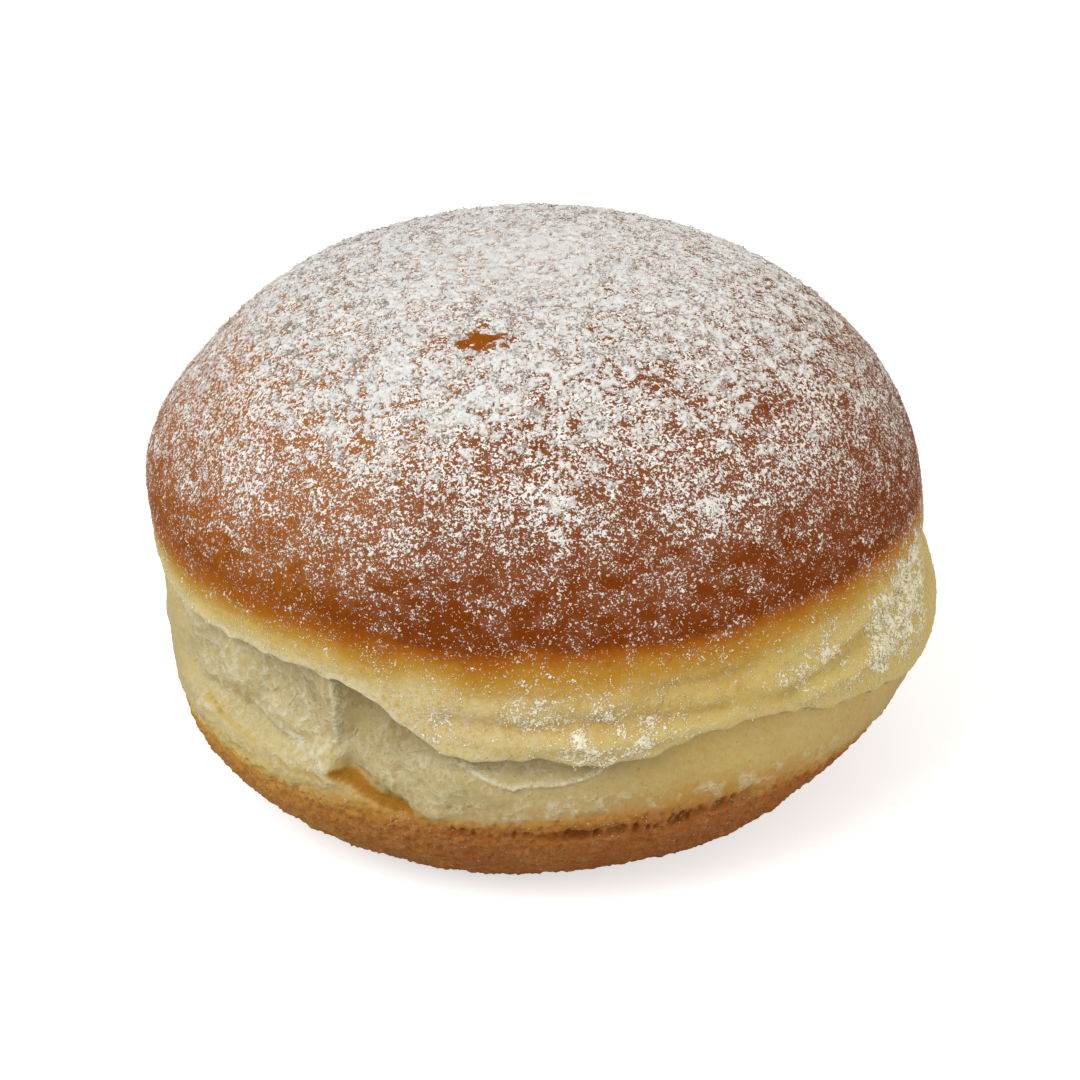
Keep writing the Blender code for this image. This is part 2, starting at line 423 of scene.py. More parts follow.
    def places(self, bearing: Array, radius: Array, height: Array) -> Array:
        """Points in the part's frame.

        Args:
            bearing: One bearing for each place.
            radius: One radius for each place.
            height: One height for each place.

        Returns:
            One row of x, y and z for each place.
        """
        angle = np.radians(bearing)
        x = self.centre_line(height, 0) + radius * np.sin(angle)
        y = self.centre_line(height, 1) - radius * np.cos(angle)
        return np.stack(np.broadcast_arrays(x, y, height), axis=-1).reshape(-1, 3)

    def lumped(self, points: Array, torn: Array) -> Array:
        """Moves points in or out by the dough's lumps and, where the crumb is torn, its crags.

        Args:
            points: One row of x, y and z for each place.
            torn: How torn the crumb is at each place, from 0 to 1.

        Returns:
            The moved points.
        """
        swing = np.array([noise.noise(Vector(p)) for p in points / self.lump_length]) * self.lump_height
        crags = np.zeros(len(points))
        where = torn > 0.0
        crags[where] = [noise.noise(Vector(p)) for p in points[where] / self.torn_length]
        swing += torn * self.torn_relief * crags
        stand = swing * smooth_step(points[:, 2] / self.lumps_start)
        return points + self.outward(points) * stand[:, None]

    def outward(self, points: Array) -> Array:
        """The direction from the dough's core to each point."""
        return unit(points - np.array((0.0, 0.0, self.girth_height)))

    def base_places(self, bearing: Array, height: Array) -> Array:
        """Points on the smooth skin with its lumps, one row of x, y and z for each place."""
        points = self.places(bearing, self.skin_radius(bearing, height), height)
        return self.lumped(points, np.zeros(len(points)))


@dataclass
class Sheet:
    """A sheet of rows and columns wrapped round the upright axis and sewn into a closed skin.

    Each row runs once round the dough. The first and last rows lie on the axis.
    """

    name: str
    bearing: Array
    rows: list[tuple[Array, Array]] = field(default_factory=list)
    hard_rows: list[int] = field(default_factory=list)

    def add_rows(self, radius: Array, height: Array) -> None:
        """Adds rows from the top down.

        Args:
            radius: The radius at every bearing, for one row or more.
            height: The height at every bearing, for one row or more.
        """
        shape = np.broadcast(np.atleast_2d(radius), np.atleast_2d(height), self.bearing).shape
        self.rows += zip(np.broadcast_to(radius, shape), np.broadcast_to(height, shape))

    def grids(self) -> tuple[Array, Array, Array]:
        """Bearing, radius and height of every point, row by row."""
        radius, height = np.array(self.rows).transpose(1, 0, 2).reshape(2, -1)
        return np.tile(self.bearing, len(self.rows)), radius, height

    def built(self, points: Array, values: dict[str, Array], material: Material) -> Piece:
        """Makes the piece.

        Args:
            points: The place of every point, row by row.
            values: The named values that the material reads, one number for each point.
            material: The piece's finish.

        Returns:
            The finished piece.
        """
        columns, count = len(self.bearing), len(self.rows)
        sheet = bmesh.new()
        bmesh.ops.create_grid(sheet, x_segments=columns - 1, y_segments=count - 1, size=1.0)
        flat = np.array([vertex.co[:2] for vertex in sheet.verts])
        column = np.rint((flat[:, 0] + 1.0) / 2.0 * (columns - 1)).astype(int)
        row = np.rint((1.0 - flat[:, 1]) / 2.0 * (count - 1)).astype(int)
        place = row * columns + column
        shape(sheet, points[place], {name: value[place] for name, value in values.items()})
        level = sheet.verts.layers.int.new("level")
        for vertex, number in zip(sheet.verts, row):
            vertex[level] = int(number)
        bmesh.ops.remove_doubles(sheet, verts=sheet.verts, dist=1e-6)
        hard = [
            edge
            for edge in sheet.edges
            if edge.verts[0][level] == edge.verts[1][level] and edge.verts[0][level] in self.hard_rows
        ]
        sheet.verts.layers.int.remove(level)
        return new_piece(self.name, sheet, hard, material)


def shape(sheet: bmesh.types.BMesh, points: Array, values: dict[str, Array]) -> None:
    """Moves a sheet's points to their places and stores named values on them.

    Args:
        sheet: The sheet.
        points: One row of x, y and z for each of its points.
        values: The named values, one number for each of its points.
    """
    layers = [(sheet.verts.layers.float.new(name), value) for name, value in values.items()]
    for index, vertex in enumerate(sheet.verts):
        vertex.co = points[index]
        for layer, value in layers:
            vertex[layer] = value[index]


def new_piece(name: str, sheet: bmesh.types.BMesh, hard: list, material: Material) -> Piece:
    """Turns a sheet into a smooth piece of the scene and frees it.

    Args:
        name: The piece's name.
        sheet: The sheet.
        hard: Those of its edges that stay sharp.
        material: The piece's finish.

    Returns:
        The finished piece.
    """
    bmesh.ops.recalc_face_normals(sheet, faces=sheet.faces)
    for face in sheet.faces:
        face.smooth = True
    for edge in hard:
        edge.smooth = False
    mesh = bpy.data.meshes.new(name)
    sheet.to_mesh(mesh)
    sheet.free()
    return placed(mesh, material)


def new_array_piece(name: str, points: Array, triangles: Array, thin: Array, material: Material) -> Piece:
    """Turns arrays of points and triangles into a smooth piece of the scene.

    Args:
        name: The piece's name.
        points: One row of x, y and z for each point.
        triangles: Three point numbers for each triangle.
        thin: How thin the piece is at each point, from 0 to 1.
        material: The piece's finish.

    Returns:
        The finished piece.
    """
    mesh = bpy.data.meshes.new(name)
    mesh.vertices.add(len(points))
    mesh.vertices.foreach_set("co", points.reshape(-1).astype(np.float32))
    mesh.loops.add(triangles.size)
    mesh.loops.foreach_set("vertex_index", triangles.reshape(-1).astype(np.int32))
    mesh.polygons.add(len(triangles))
    mesh.polygons.foreach_set("loop_start", np.arange(0, triangles.size, 3, dtype=np.int32))
    mesh.update(calc_edges=True)
    mesh.attributes.new("thin", "FLOAT", "POINT").data.foreach_set("value", thin.astype(np.float32))
    mesh.shade_smooth()
    return placed(mesh, material)


def placed(mesh: bpy.types.Mesh, material: Material) -> Piece:
    """Puts a mesh in the scene.

    Args:
        mesh: The mesh, which gives the piece its name.
        material: The piece's finish.

    Returns:
        The finished piece.
    """
    mesh.materials.append(material)
    piece = bpy.data.objects.new(mesh.name, mesh)
    bpy.context.scene.collection.objects.link(piece)
    return piece


def attach(piece: Piece) -> None:
    """Lets a piece ride on the part and stand for its solid.

    Args:
        piece: The piece.
    """
    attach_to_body(piece, BODY)
    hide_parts(NODE)
    faces = sum(len(polygon.vertices) - 2 for polygon in piece.data.polygons)
    LOG.info("%s has %d triangles", piece.name, faces)


@dataclass
class Wiring:
    """Adds nodes to one node tree and joins them."""

    tree: bpy.types.NodeTree

    def add(self, kind: str, inputs: dict | None = None, **settings) -> bpy.types.Node:
        """Adds a node.

        Args:
            kind: Blender's name for the node.
            inputs: Socket names or numbers, with a value or the socket that feeds each.
            settings: The node's own settings.

        Returns:
            The node.
        """
        node = self.tree.nodes.new(kind)
        for name, value in settings.items():
            setattr(node, name, value)
        for name, value in (inputs or {}).items():
            self.join(value, node.inputs[name])
        return node

    def join(self, value: object, socket: Socket) -> None:
        """Feeds a socket.

        Args:
            value: The socket that feeds it, or its value.
            socket: The socket.
        """
        if isinstance(value, Socket):
            self.tree.links.new(value, socket)
        elif isinstance(value, tuple) and socket.type == "RGBA":
            socket.default_value = (*value, 1.0)
        else:
            socket.default_value = value

    def math(self, operation: str, a: object, b: object = 0.0, c: object = 0.0) -> Socket:
        """The result of a sum on up to three numbers."""
        return self.add("ShaderNodeMath", {0: a, 1: b, 2: c}, operation=operation).outputs[0]

    def step(self, value: object, low: float, high: float) -> Socket:
        """A smooth rise from 0 at low to 1 at high."""
        inputs = {"Value": value, "From Min": low, "From Max": high}
        return self.add("ShaderNodeMapRange", inputs, interpolation_type="SMOOTHSTEP").outputs["Result"]

    def mix(self, share: object, a: object, b: object) -> Socket:
        """A colour between two colours."""
        return self.add("ShaderNodeMix", {0: share, 6: a, 7: b}, data_type="RGBA").outputs[2]

    def blend(self, share: object, a: object, b: object) -> Socket:
        """A number between two numbers."""
        return self.add("ShaderNodeMix", {0: share, 2: a, 3: b}, data_type="FLOAT").outputs[0]

    def noise(self, vector: object, length: float, detail: float = 2.0, rough: float = 0.5) -> Socket:
        """Noise from 0 to 1 with blobs of about the given length in metres."""
        inputs = {"Vector": vector, "Scale": 1.0 / length, "Detail": detail, "Roughness": rough}
        return self.add("ShaderNodeTexNoise", inputs).outputs["Fac"]

    def cells(self, vector: object, length: float, feature: str = "F1") -> Socket:
        """Distance to the middle, or to the wall, of cells of the given size."""
        inputs = {"Vector": vector, "Scale": 1.0 / length}
        return self.add("ShaderNodeTexVoronoi", inputs, feature=feature).outputs["Distance"]

    def attribute(self, name: str) -> Socket:
        """A value stored on the piece's points."""
        return self.add("ShaderNodeAttribute", attribute_name=name).outputs["Fac"]

    def place(self) -> tuple[Socket, Socket]:
        """The point's own place on the piece, and its height alone."""
        place = self.add("ShaderNodeTexCoord").outputs["Object"]
        return place, self.add("ShaderNodeSeparateXYZ", {0: place}).outputs["Z"]

    def bump(self, height: object, distance: float) -> Socket:
        """A normal that follows a height from 0 to 1."""
        return self.add("ShaderNodeBump", {"Height": height, "Distance": distance}).outputs["Normal"]

    def principled(self, inputs: dict) -> Socket:
        """A surface shader."""
        return self.add("ShaderNodeBsdfPrincipled", inputs).outputs["BSDF"]

    def surface(self, shader: Socket) -> None:
        """Gives the material its shader."""
        self.add("ShaderNodeOutputMaterial", {"Surface": shader})


def new_material(name: str) -> tuple[Material, Wiring]:
    """Starts a material.

    Args:
        name: The material's name.

    Returns:
        The material, and its wiring without a node.
    """
    material = bpy.data.materials.new(name)
    material.use_nodes = True
    material.node_tree.nodes.clear()
    return material, Wiring(material.node_tree)


def new_group(name: str, inputs: dict[str, str], outputs: dict[str, str]) -> tuple[Wiring, dict, dict]:
    """Starts a node group.

    Args:
        name: The group's name.
        inputs: Socket names and types that go in.
        outputs: Socket names and types that come out.

    Returns:
        The group's wiring, what comes in by name, and what goes out by name.
    """
    tree = bpy.data.node_groups.new(name, "ShaderNodeTree")
    for way, sockets in (("INPUT", inputs), ("OUTPUT", outputs)):
        for socket, kind in sockets.items():
            tree.interface.new_socket(name=socket, in_out=way, socket_type=kind)
    wiring = Wiring(tree)
    into, out = wiring.add("NodeGroupInput"), wiring.add("NodeGroupOutput")
    return wiring, {name: into.outputs[name] for name in inputs}, {name: out.inputs[name] for name in outputs}


FLOAT = "NodeSocketFloat"
COLOUR = "NodeSocketColor"
VECTOR = "NodeSocketVector"


@dataclass
class Effects:
    """The node groups that more than one finish uses, with the sizes of what they draw.

    A rise is a pair of values between which a mask goes from 0 to 1.
    """

    blotch_length: float = 5.0 * MM
    blotch_share: float = 0.26
    mottle_length: float = 0.8 * MM
    gold_rise: Pair = (0.02, 0.42)
    brown_rise: Pair = (0.36, 0.74)
    dark_rise: Pair = (0.70, 1.02)
    pore_length: float = 0.8 * MM
    pore_rise: Pair = (0.05, 0.5)
    wrinkle_length: float = 0.4 * MM
    film_lengths: Pair = (0.46 * MM, 0.22 * MM)
    film_fine_share: float = 0.45
    film_threshold: Pair = (-0.27, 0.65)
    film_rise: Pair = (-0.012, 0.035)
    film_body_rise: Pair = (0.05, 0.55)
    film_body: Pair = (0.62, 1.0)
    web_drift_length: float = 1.6 * MM
    web_drift: float = 1.1 * MM
    wide_length: float = 1.25 * MM
    wide_rise: Pair = (0.13, 0.01)
    narrow_length: float = 0.52 * MM
    narrow_rise: Pair = (0.16, 0.02)
    narrow_share: float = 0.55
    break_length: float = 1.1 * MM
    break_rise: Pair = (0.32, 0.60)
    fuzz_length: float = 0.30 * MM
    fuzz_share: float = 0.4

    def __post_init__(self) -> None:
        """Builds the groups."""
        self.toasting = self.make_toasting()
        self.grain = self.make_grain()
        self.sugar_film = self.make_sugar_film()
        self.crumb_web = self.make_crumb_web()

    def make_toasting(self) -> bpy.types.NodeTree:
        """Dough's colour from pale through gold to brown, with mottling.

        Returns:
            The group.
        """
        inputs = {"Place": VECTOR, "Toast": FLOAT, "Mottling": FLOAT}
        inputs.update({name: COLOUR for name in ("Pale", "Gold", "Brown", "Dark")})
        wiring, into, out = new_group("toasting", inputs, {"Colour": COLOUR})
        coarse = wiring.math("SUBTRACT", wiring.noise(into["Place"], self.blotch_length, 3.0, 0.6), 0.5)
        fine = wiring.math("SUBTRACT", wiring.noise(into["Place"], self.mottle_length, 3.0, 0.65), 0.5)
        mottle = wiring.math("MULTIPLY", fine, into["Mottling"])
        wander = wiring.math("MULTIPLY_ADD", coarse, self.blotch_share, mottle)
        toast = wiring.math("ADD", into["Toast"], wander)
        colour = into["Pale"]
        for name, rise in (("Gold", self.gold_rise), ("Brown", self.brown_rise), ("Dark", self.dark_rise)):
            colour = wiring.mix(wiring.step(toast, *rise), colour, into[name])
        wiring.join(colour, out["Colour"])
        return wiring.tree

    def make_grain(self) -> bpy.types.NodeTree:
        """The fine pores and wrinkles of dough, as a height from 0 to 1.

        Returns:
            The group.
        """
        wiring, into, out = new_group("dough_grain", {"Place": VECTOR, "Pores": FLOAT}, {"Height": FLOAT})
        pores = wiring.step(wiring.cells(into["Place"], self.pore_length), *self.pore_rise)
        wrinkles = wiring.noise(into["Place"], self.wrinkle_length, 4.0, 0.65)
        wiring.join(wiring.blend(into["Pores"], wrinkles, pores), out["Height"])
        return wiring.tree

    def make_sugar_film(self) -> bpy.types.NodeTree:
        """The finest sugar between the specks: where it lies, and its height.

        Returns:
            The group.
        """
        sockets = {"Place": VECTOR, "Cover": FLOAT}, {"Mask": FLOAT, "Height": FLOAT}
        wiring, into, out = new_group("sugar_film", *sockets)
        blobs = wiring.noise(into["Place"], self.film_lengths[0], 2.0, 0.55)
        specks = wiring.noise(into["Place"], self.film_lengths[1], 1.0, 0.5)
        both = wiring.blend(self.film_fine_share, blobs, specks)
        threshold = wiring.math("MULTIPLY_ADD", into["Cover"], *self.film_threshold)
        grains = wiring.step(wiring.math("SUBTRACT", both, threshold), *self.film_rise)
        body = wiring.blend(wiring.step(into["Cover"], *self.film_body_rise), *self.film_body)
        wiring.join(wiring.math("MULTIPLY", grains, body), out["Mask"])
        wiring.join(wiring.math("MULTIPLY", grains, both), out["Height"])
        return wiring.tree

    def make_crumb_web(self) -> bpy.types.NodeTree:
        """The walls between the crumb's fine bubbles: where they are, and their height.

        Returns:
            The group.
        """
        wiring, into, out = new_group("crumb_web", {"Place": VECTOR}, {"Mask": FLOAT, "Height": FLOAT})
        place = into["Place"]
        drift = wiring.noise(place, self.web_drift_length).node.outputs["Color"]
        inputs = {0: drift, 1: (self.web_drift,) * 3, 2: place}
        bent = wiring.add("ShaderNodeVectorMath", inputs, operation="MULTIPLY_ADD").outputs["Vector"]
        wide = wiring.step(wiring.cells(bent, self.wide_length, "DISTANCE_TO_EDGE"), *self.wide_rise)
        narrow = wiring.step(wiring.cells(bent, self.narrow_length, "DISTANCE_TO_EDGE"), *self.narrow_rise)
        fuzz = wiring.noise(place, self.fuzz_length, 3.0, 0.7)
        walls = wiring.math("MAXIMUM", wide, wiring.math("MULTIPLY", narrow, self.narrow_share))
        gaps = wiring.step(wiring.noise(place, self.break_length), *self.break_rise)
        broken = wiring.math("MULTIPLY", walls, gaps)
        wiring.join(broken, out["Mask"])
        wiring.join(wiring.blend(self.fuzz_share, broken, fuzz), out["Height"])
        return wiring.tree


@dataclass(frozen=True)
class DoughFinish:
    """Fried dough: its colours from pale to dark, and how it takes the light.

    A rise is a pair of values between which a mask goes from 0 to 1.
    """

    name: str
    pale: Colour = (0.66, 0.51, 0.165)
    gold: Colour = (0.50, 0.25, 0.028)
    brown: Colour = (0.37, 0.108, 0.006)
    dark: Colour = (0.195, 0.038, 0.0010)
    mottling: float = 0.24
    # Painted shade: a darker, greyer dough colour for where the crumb lies deep, under the lip and in its
    # pits.
    recess_shade: Colour = (0.50, 0.39, 0.18)
    web: Colour = (0.76, 0.70, 0.50)
    fibre_length: float = 0.7 * MM
    fibre_rise: Pair = (0.30, 0.62)
    webbing: float = 0.0
    webbing_rise: Pair = (0.05, 0.50)
    webbing_stand: float = 1.2
    amber: Colour = (0.37, 0.160, 0.008)
    # Partly fine sugar dust and partly a painted sheen: a pinkish veil over the browned crust where sugar
    # lies.
    dust_and_sheen: Colour = (0.95, 0.56, 0.36)
    dust_and_sheen_share: float = 0.08
    dust_and_sheen_rise: Pair = (0.13, 0.40)
    browned_rise: Pair = (0.45, 0.80)
    sugar: Colour = (0.98, 0.94, 0.88)
    sugar_low: Colour = (0.98, 0.91, 0.68)
    sugar_low_rise: Pair = (34.0 * MM, 30.0 * MM)
    sugar_stand: float = 2.2
    roughness: float = 0.45
    matt_roughness: float = 0.95
    shine: float = 0.04
    pores: float = 0.5
    grain_depth: float = 0.10 * MM
    glow: float = 0.12
    glow_spread: Colour = (1.0, 0.6, 0.3)
    glow_reach: float = 1.4 * MM

    def made(self, effects: Effects) -> Material:
        """Builds the material.

        Args:
            effects: The node groups.

        Returns:
            The material.
        """
        material, wiring = new_material(self.name)
        place, level = wiring.place()
        names = ("toast", "recess_shade", "web", "wet", "sugar")
        toast, recess_shade, web, wet, cover = (wiring.attribute(name) for name in names)
        palette = {"Place": place, "Toast": toast, "Mottling": self.mottling}
        palette.update({"Pale": self.pale, "Gold": self.gold, "Brown": self.brown, "Dark": self.dark})
        base = wiring.add("ShaderNodeGroup", palette, node_tree=effects.toasting).outputs["Colour"]
        # Painted shade: darkens the dough towards that colour in its recesses, under the lip and in its pits.
        base = wiring.mix(recess_shade, base, self.recess_shade)
        fibres = wiring.step(wiring.noise(place, self.fibre_length, 4.0, 0.7), *self.fibre_rise)
        base = wiring.mix(wiring.math("MULTIPLY", web, fibres), base, self.web)
        film = wiring.add("ShaderNodeGroup", {"Place": place, "Cover": cover}, node_tree=effects.sugar_film)
        grain = wiring.add("ShaderNodeGroup", {"Place": place, "Pores": self.pores}, node_tree=effects.grain)
        mask, grain = film.outputs["Mask"], grain.outputs["Height"]
        height = wiring.math("MULTIPLY_ADD", film.outputs["Height"], self.sugar_stand, grain)
        if self.webbing:
            walls = wiring.add("ShaderNodeGroup", {"Place": place}, node_tree=effects.crumb_web)
            torn = wiring.step(web, *self.webbing_rise)
            lines = wiring.math("MULTIPLY", walls.outputs["Mask"], torn)
            base = wiring.mix(wiring.math("MULTIPLY", lines, self.webbing), base, self.web)
            stood = wiring.math("MULTIPLY", walls.outputs["Height"], torn)
            height = wiring.math("MULTIPLY_ADD", stood, self.webbing_stand, height)
        base = wiring.mix(wet, base, self.amber)
        # Partly sugar dust, partly painted sheen: a pinkish veil on browned dough where sugar covers it.
        dust_and_sheen = wiring.math("MULTIPLY", wiring.step(cover, *self.dust_and_sheen_rise), self.dust_and_sheen_share)
        dust_and_sheen = wiring.math("MULTIPLY", dust_and_sheen, wiring.step(toast, *self.browned_rise))
        base = wiring.mix(dust_and_sheen, base, self.dust_and_sheen)
        sugar = wiring.mix(wiring.step(level, *self.sugar_low_rise), self.sugar, self.sugar_low)
        matt = wiring.math("MAXIMUM", mask, wet)
        inputs = {
            "Base Color": wiring.mix(mask, base, sugar),
            "Roughness": wiring.blend(matt, self.roughness, self.matt_roughness),
            "Normal": wiring.bump(height, self.grain_depth),
            "Specular IOR Level": self.shine,
            "Subsurface Weight": self.glow,
            "Subsurface Radius": self.glow_spread,
            "Subsurface Scale": self.glow_reach,
        }
        wiring.surface(wiring.principled(inputs))
        return material


@dataclass(frozen=True)
class PowderFinish:
    """A fully matt powder or fine strand with a slight change of tint from place to place.

    Where a piece stores the value "thin", the dough's colour shows through by that share. Below
    the brown crust that is the pale dough's colour. A rise is a pair of values between which a
    mask goes from 0 to 1.
    """

    name: str
    light: Colour
    shade: Colour
    low: Colour
    thin: Colour = (0.97, 0.57, 0.30)
    tint_length: float = 1.5 * MM
    tint_rise: Pair = (0.3, 0.7)
    low_share: float = 0.75
    low_top: float = 0.034
    low_fade: float = 4.0 * MM
    roughness: float = 0.95
    shine: float = 0.2
    grain_length: float = 0.12 * MM
    grain_depth: float = 0.02 * MM
    pore_share: float = 0.0
    pore_length: float = 0.34 * MM
    pore_patch_length: float = 1.6 * MM
    pore_patch_share: float = 0.8
    pore_rise: Pair = (0.83, 0.70)
    pore_top_rise: Pair = (61.9 * MM, 60.0 * MM)

    def made(self) -> Material:
        """Builds the material.

        Returns:
            The material.
        """
        material, wiring = new_material(self.name)
        place, level = wiring.place()
        tint = wiring.step(wiring.noise(place, self.tint_length, 3.0, 0.7), *self.tint_rise)
        low = wiring.step(level, self.low_top, self.low_top - self.low_fade)
        colour = wiring.mix(tint, self.shade, self.light)
        colour = wiring.mix(wiring.math("MULTIPLY", low, self.low_share), colour, self.low)
        thin = wiring.mix(low, self.thin, self.low)
        colour = wiring.mix(wiring.attribute("thin"), colour, thin)
        grain = wiring.noise(place, self.grain_length, 3.0, 0.6)
        if self.pore_share:
            patches = wiring.noise(place, self.pore_patch_length)
            patches = wiring.math("MULTIPLY", patches, self.pore_patch_share)
            pores = wiring.math("ADD", wiring.noise(place, self.pore_length, 3.0, 0.65), patches)
            pores = wiring.step(pores, *self.pore_rise)
            pores = wiring.math("MULTIPLY", pores, wiring.step(level, *self.pore_top_rise))
            colour = wiring.mix(wiring.math("MULTIPLY", pores, self.pore_share), colour, self.thin)
            grain = wiring.math("SUBTRACT", grain, pores)
        inputs = {
            "Base Color": colour,
            "Roughness": self.roughness,
            "Normal": wiring.bump(grain, self.grain_depth),
            "Specular IOR Level": self.shine,
        }
        wiring.surface(wiring.principled(inputs))
        return material


CRUST = DoughFinish("fried_crust")
CRUMB = DoughFinish(
    "open_crumb",
    pale=(0.60, 0.46, 0.155),
    # Painted shade colour for the crumb's recesses.
    recess_shade=(0.43, 0.325, 0.130),
    web=(0.72, 0.67, 0.46),
    webbing=0.40,
    sugar_low=(0.88, 0.68, 0.40),
    roughness=0.36,
    shine=0.35,
    grain_depth=0.10 * MM,
    glow=0.22,
)
UNDERCRUST = DoughFinish(
    "bottom_crust",
    gold=(0.55, 0.265, 0.045),
    brown=(0.38, 0.120, 0.022),
    dark=(0.22, 0.055, 0.007),
    sugar_low=(0.86, 0.60, 0.36),
    mottling=0.44,
    roughness=0.50,
    grain_depth=0.30 * MM,
    glow=0.08,
)
SUGAR = PowderFinish(
    "icing_sugar", light=(0.98, 0.955, 0.915), shade=(0.93, 0.895, 0.845), low=(0.99, 0.92, 0.70)
)
# Painted shade: the same icing sugar as the grains but greyer and darker, standing in for the dimmer light on
# the crown's top.
SUGAR_LAYER = PowderFinish(
    "icing_sugar_layer",
    light=(0.94, 0.93, 0.91),
    shade=(0.83, 0.82, 0.80),
    thin=(0.40, 0.20, 0.085),
    low=(0.90, 0.83, 0.62),
    grain_length=0.30 * MM,
    grain_depth=0.20 * MM,
    pore_share=0.74,
)
GLUTEN = PowderFinish(
    "gluten_strands",
    light=(0.78, 0.70, 0.48),
    shade=(0.66, 0.50, 0.24),
    low=(0.82, 0.46, 0.14),
    low_share=0.85,
    low_top=0.0160,
    roughness=0.4,
)


def girth_bearings(columns: int, crowding: float, middle: float = 0.0) -> Array:
    """Bearings once round the dough, closer together at the front.

    Args:
        columns: How many steps go round.
        crowding: 0 for even steps, up to 1 for steps that shrink to nothing in the middle.
        middle: The bearing where the steps are closest.

    Returns:
        columns + 1 bearings that run once round.
    """
    even = np.linspace(-1.0, 1.0, columns + 1)
    return middle + 180.0 * (even - crowding * np.sin(math.pi * even) / math.pi)


@dataclass
class SugarCover:
    """How thickly the icing sugar lies."""

    clump_length: float = 1.9 * MM
    clump_swing: float = 0.32
    patch_length: float = 8.0 * MM
    patch_swing: float = 0.08
    squat: Triple = (1.0, 1.0, 1.7)
    ragged_length: float = 1.4 * MM
    ragged_middle: float = 0.70
    ragged_swing: float = 1.1
    ragged_most: float = 1.6
    least: float = 0.04
    heights: tuple[float, ...] = (0.010, 0.030, 0.0335, 0.036, 0.040, 0.045, 0.050, 0.055, 0.0585, 0.0605)
    shares: tuple[float, ...] = (0.04, 0.14, 0.15, 0.17, 0.24, 0.39, 0.53, 0.62, 0.72, 0.86)
    left_thicker: float = 0.20
    dome_start: float = 35.0 * MM
    dome_reach: float = 10.0 * MM
    even_depth: float = 0.14 * MM
    low_depth: float = 0.22 * MM
    low_start: float = 33.0 * MM
    low_reach: float = 3.0 * MM
    fluff_depth: float = 0.16 * MM
    fluff_length: float = 1.25 * MM
    spots: tuple[Spot, ...] = (
        Spot((-0.0092, -0.0174, 0.0586), 0.0015, -0.60), Spot((-0.0070, -0.0175, 0.0588), 0.0015, -0.75),
        Spot((-0.0050, -0.0176, 0.0590), 0.0015, -0.60), Spot((-0.0035, -0.0158, 0.0594), 0.0016, -0.35),
        Spot((-0.0115, -0.0175, 0.0577), 0.0020, -0.22), Spot((0.0119, -0.0227, 0.0557), 0.0022, -0.22),
        Spot((0.0246, -0.0192, 0.0524), 0.0023, -0.22), Spot((0.0075, -0.0242, 0.0558), 0.0018, -0.26),
        Spot((-0.0243, -0.0182, 0.0540), 0.0020, -0.12), Spot((-0.0262, -0.0243, 0.0494), 0.0022, -0.14),
        Spot((-0.0075, -0.0294, 0.0527), 0.0020, -0.28), Spot((-0.0005, -0.0320, 0.0510), 0.0023, -0.28),
        Spot((-0.0197, -0.0284, 0.0501), 0.0034, 0.30), Spot((-0.0113, -0.0265, 0.0542), 0.0034, 0.25),
        Spot((-0.0040, -0.0232, 0.0568), 0.0036, 0.25), Spot((0.0013, -0.0348, 0.0480), 0.0030, 0.42),
        Spot((0.0020, -0.0374, 0.0446), 0.0018, 0.30), Spot((0.0187, -0.0322, 0.0450), 0.0030, 0.28),
        Spot((0.0385, -0.0238, 0.0286), 0.0034, 0.80), Spot((0.0406, -0.0208, 0.0262), 0.0028, 0.70),
        Spot((0.0430, -0.0160, 0.0284), 0.0046, 0.90), Spot((0.0441, -0.0128, 0.0296), 0.0034, 0.55),
        Spot((0.0385, -0.0250, 0.0240), 0.0028, 0.75), Spot((0.0415, -0.0200, 0.0240), 0.0026, 0.60),
        Spot((0.0345, -0.0290, 0.0238), 0.0024, 0.45), Spot((0.0290, -0.0335, 0.0238), 0.0024, 0.44),
        Spot((0.0317, -0.0312, 0.0280), 0.0028, 0.48), Spot((0.0270, -0.0350, 0.0262), 0.0028, 0.38),
        Spot((0.0040, -0.0446, 0.0236), 0.0030, 0.58), Spot((0.0085, -0.0442, 0.0238), 0.0028, 0.52),
        Spot((0.0130, -0.0430, 0.0242), 0.0028, 0.48), Spot((-0.0010, -0.0446, 0.0272), 0.0030, 0.48),
        Spot((0.0060, -0.0441, 0.0272), 0.0026, 0.40), Spot((-0.0112, -0.0431, 0.0251), 0.0028, 0.34),
    )

    def at(self, bearing: Array, points: Array) -> Array:
        """The share of the surface that sugar covers, from 0 to 1.

        Args:
            bearing: One bearing for each place.
            points: One row of x, y and z for each place.

        Returns:
            One share for each place.
        """
        level = np.interp(points[:, 2], self.heights, self.shares)
        dome = smooth_step((points[:, 2] - self.dome_start) / self.dome_reach)
        left = np.clip(-np.sin(np.radians(bearing)), 0.0, 1.0)
        level = level + self.left_thicker * left * dome * (1.0 - level)
        squat = points * np.array(self.squat)
        swing = self.clump_swing * layered_cloud(squat, self.clump_length, 3)
        swing = swing + self.patch_swing * cloud(points, self.patch_length, 11)
        swing = swing * (0.20 + level) * (1.30 - level)
        ragged = self.ragged_middle + self.ragged_swing * layered_cloud(squat, self.ragged_length, 17, 2)
        marks = added(self.spots, points) * np.clip(ragged, 0.0, self.ragged_most)
        return np.clip(level + swing + marks, self.least, 1.0)

    def depth(self, points: Array, cover: Array) -> Array:
        """How far the sugar's even layer stands off the dough.

        Args:
            points: One row of x, y and z for each place.
            cover: The share that sugar covers, at each place.

        Returns:
            One depth for each place.
        """
        fluff = layered_cloud(points, self.fluff_length, 13, 2)
        low = smooth_step((self.low_start - points[:, 2]) / self.low_reach)
        even = (self.even_depth + self.low_depth * low) * cover**2
        return even + self.fluff_depth * cover * (1.0 + low) * fluff


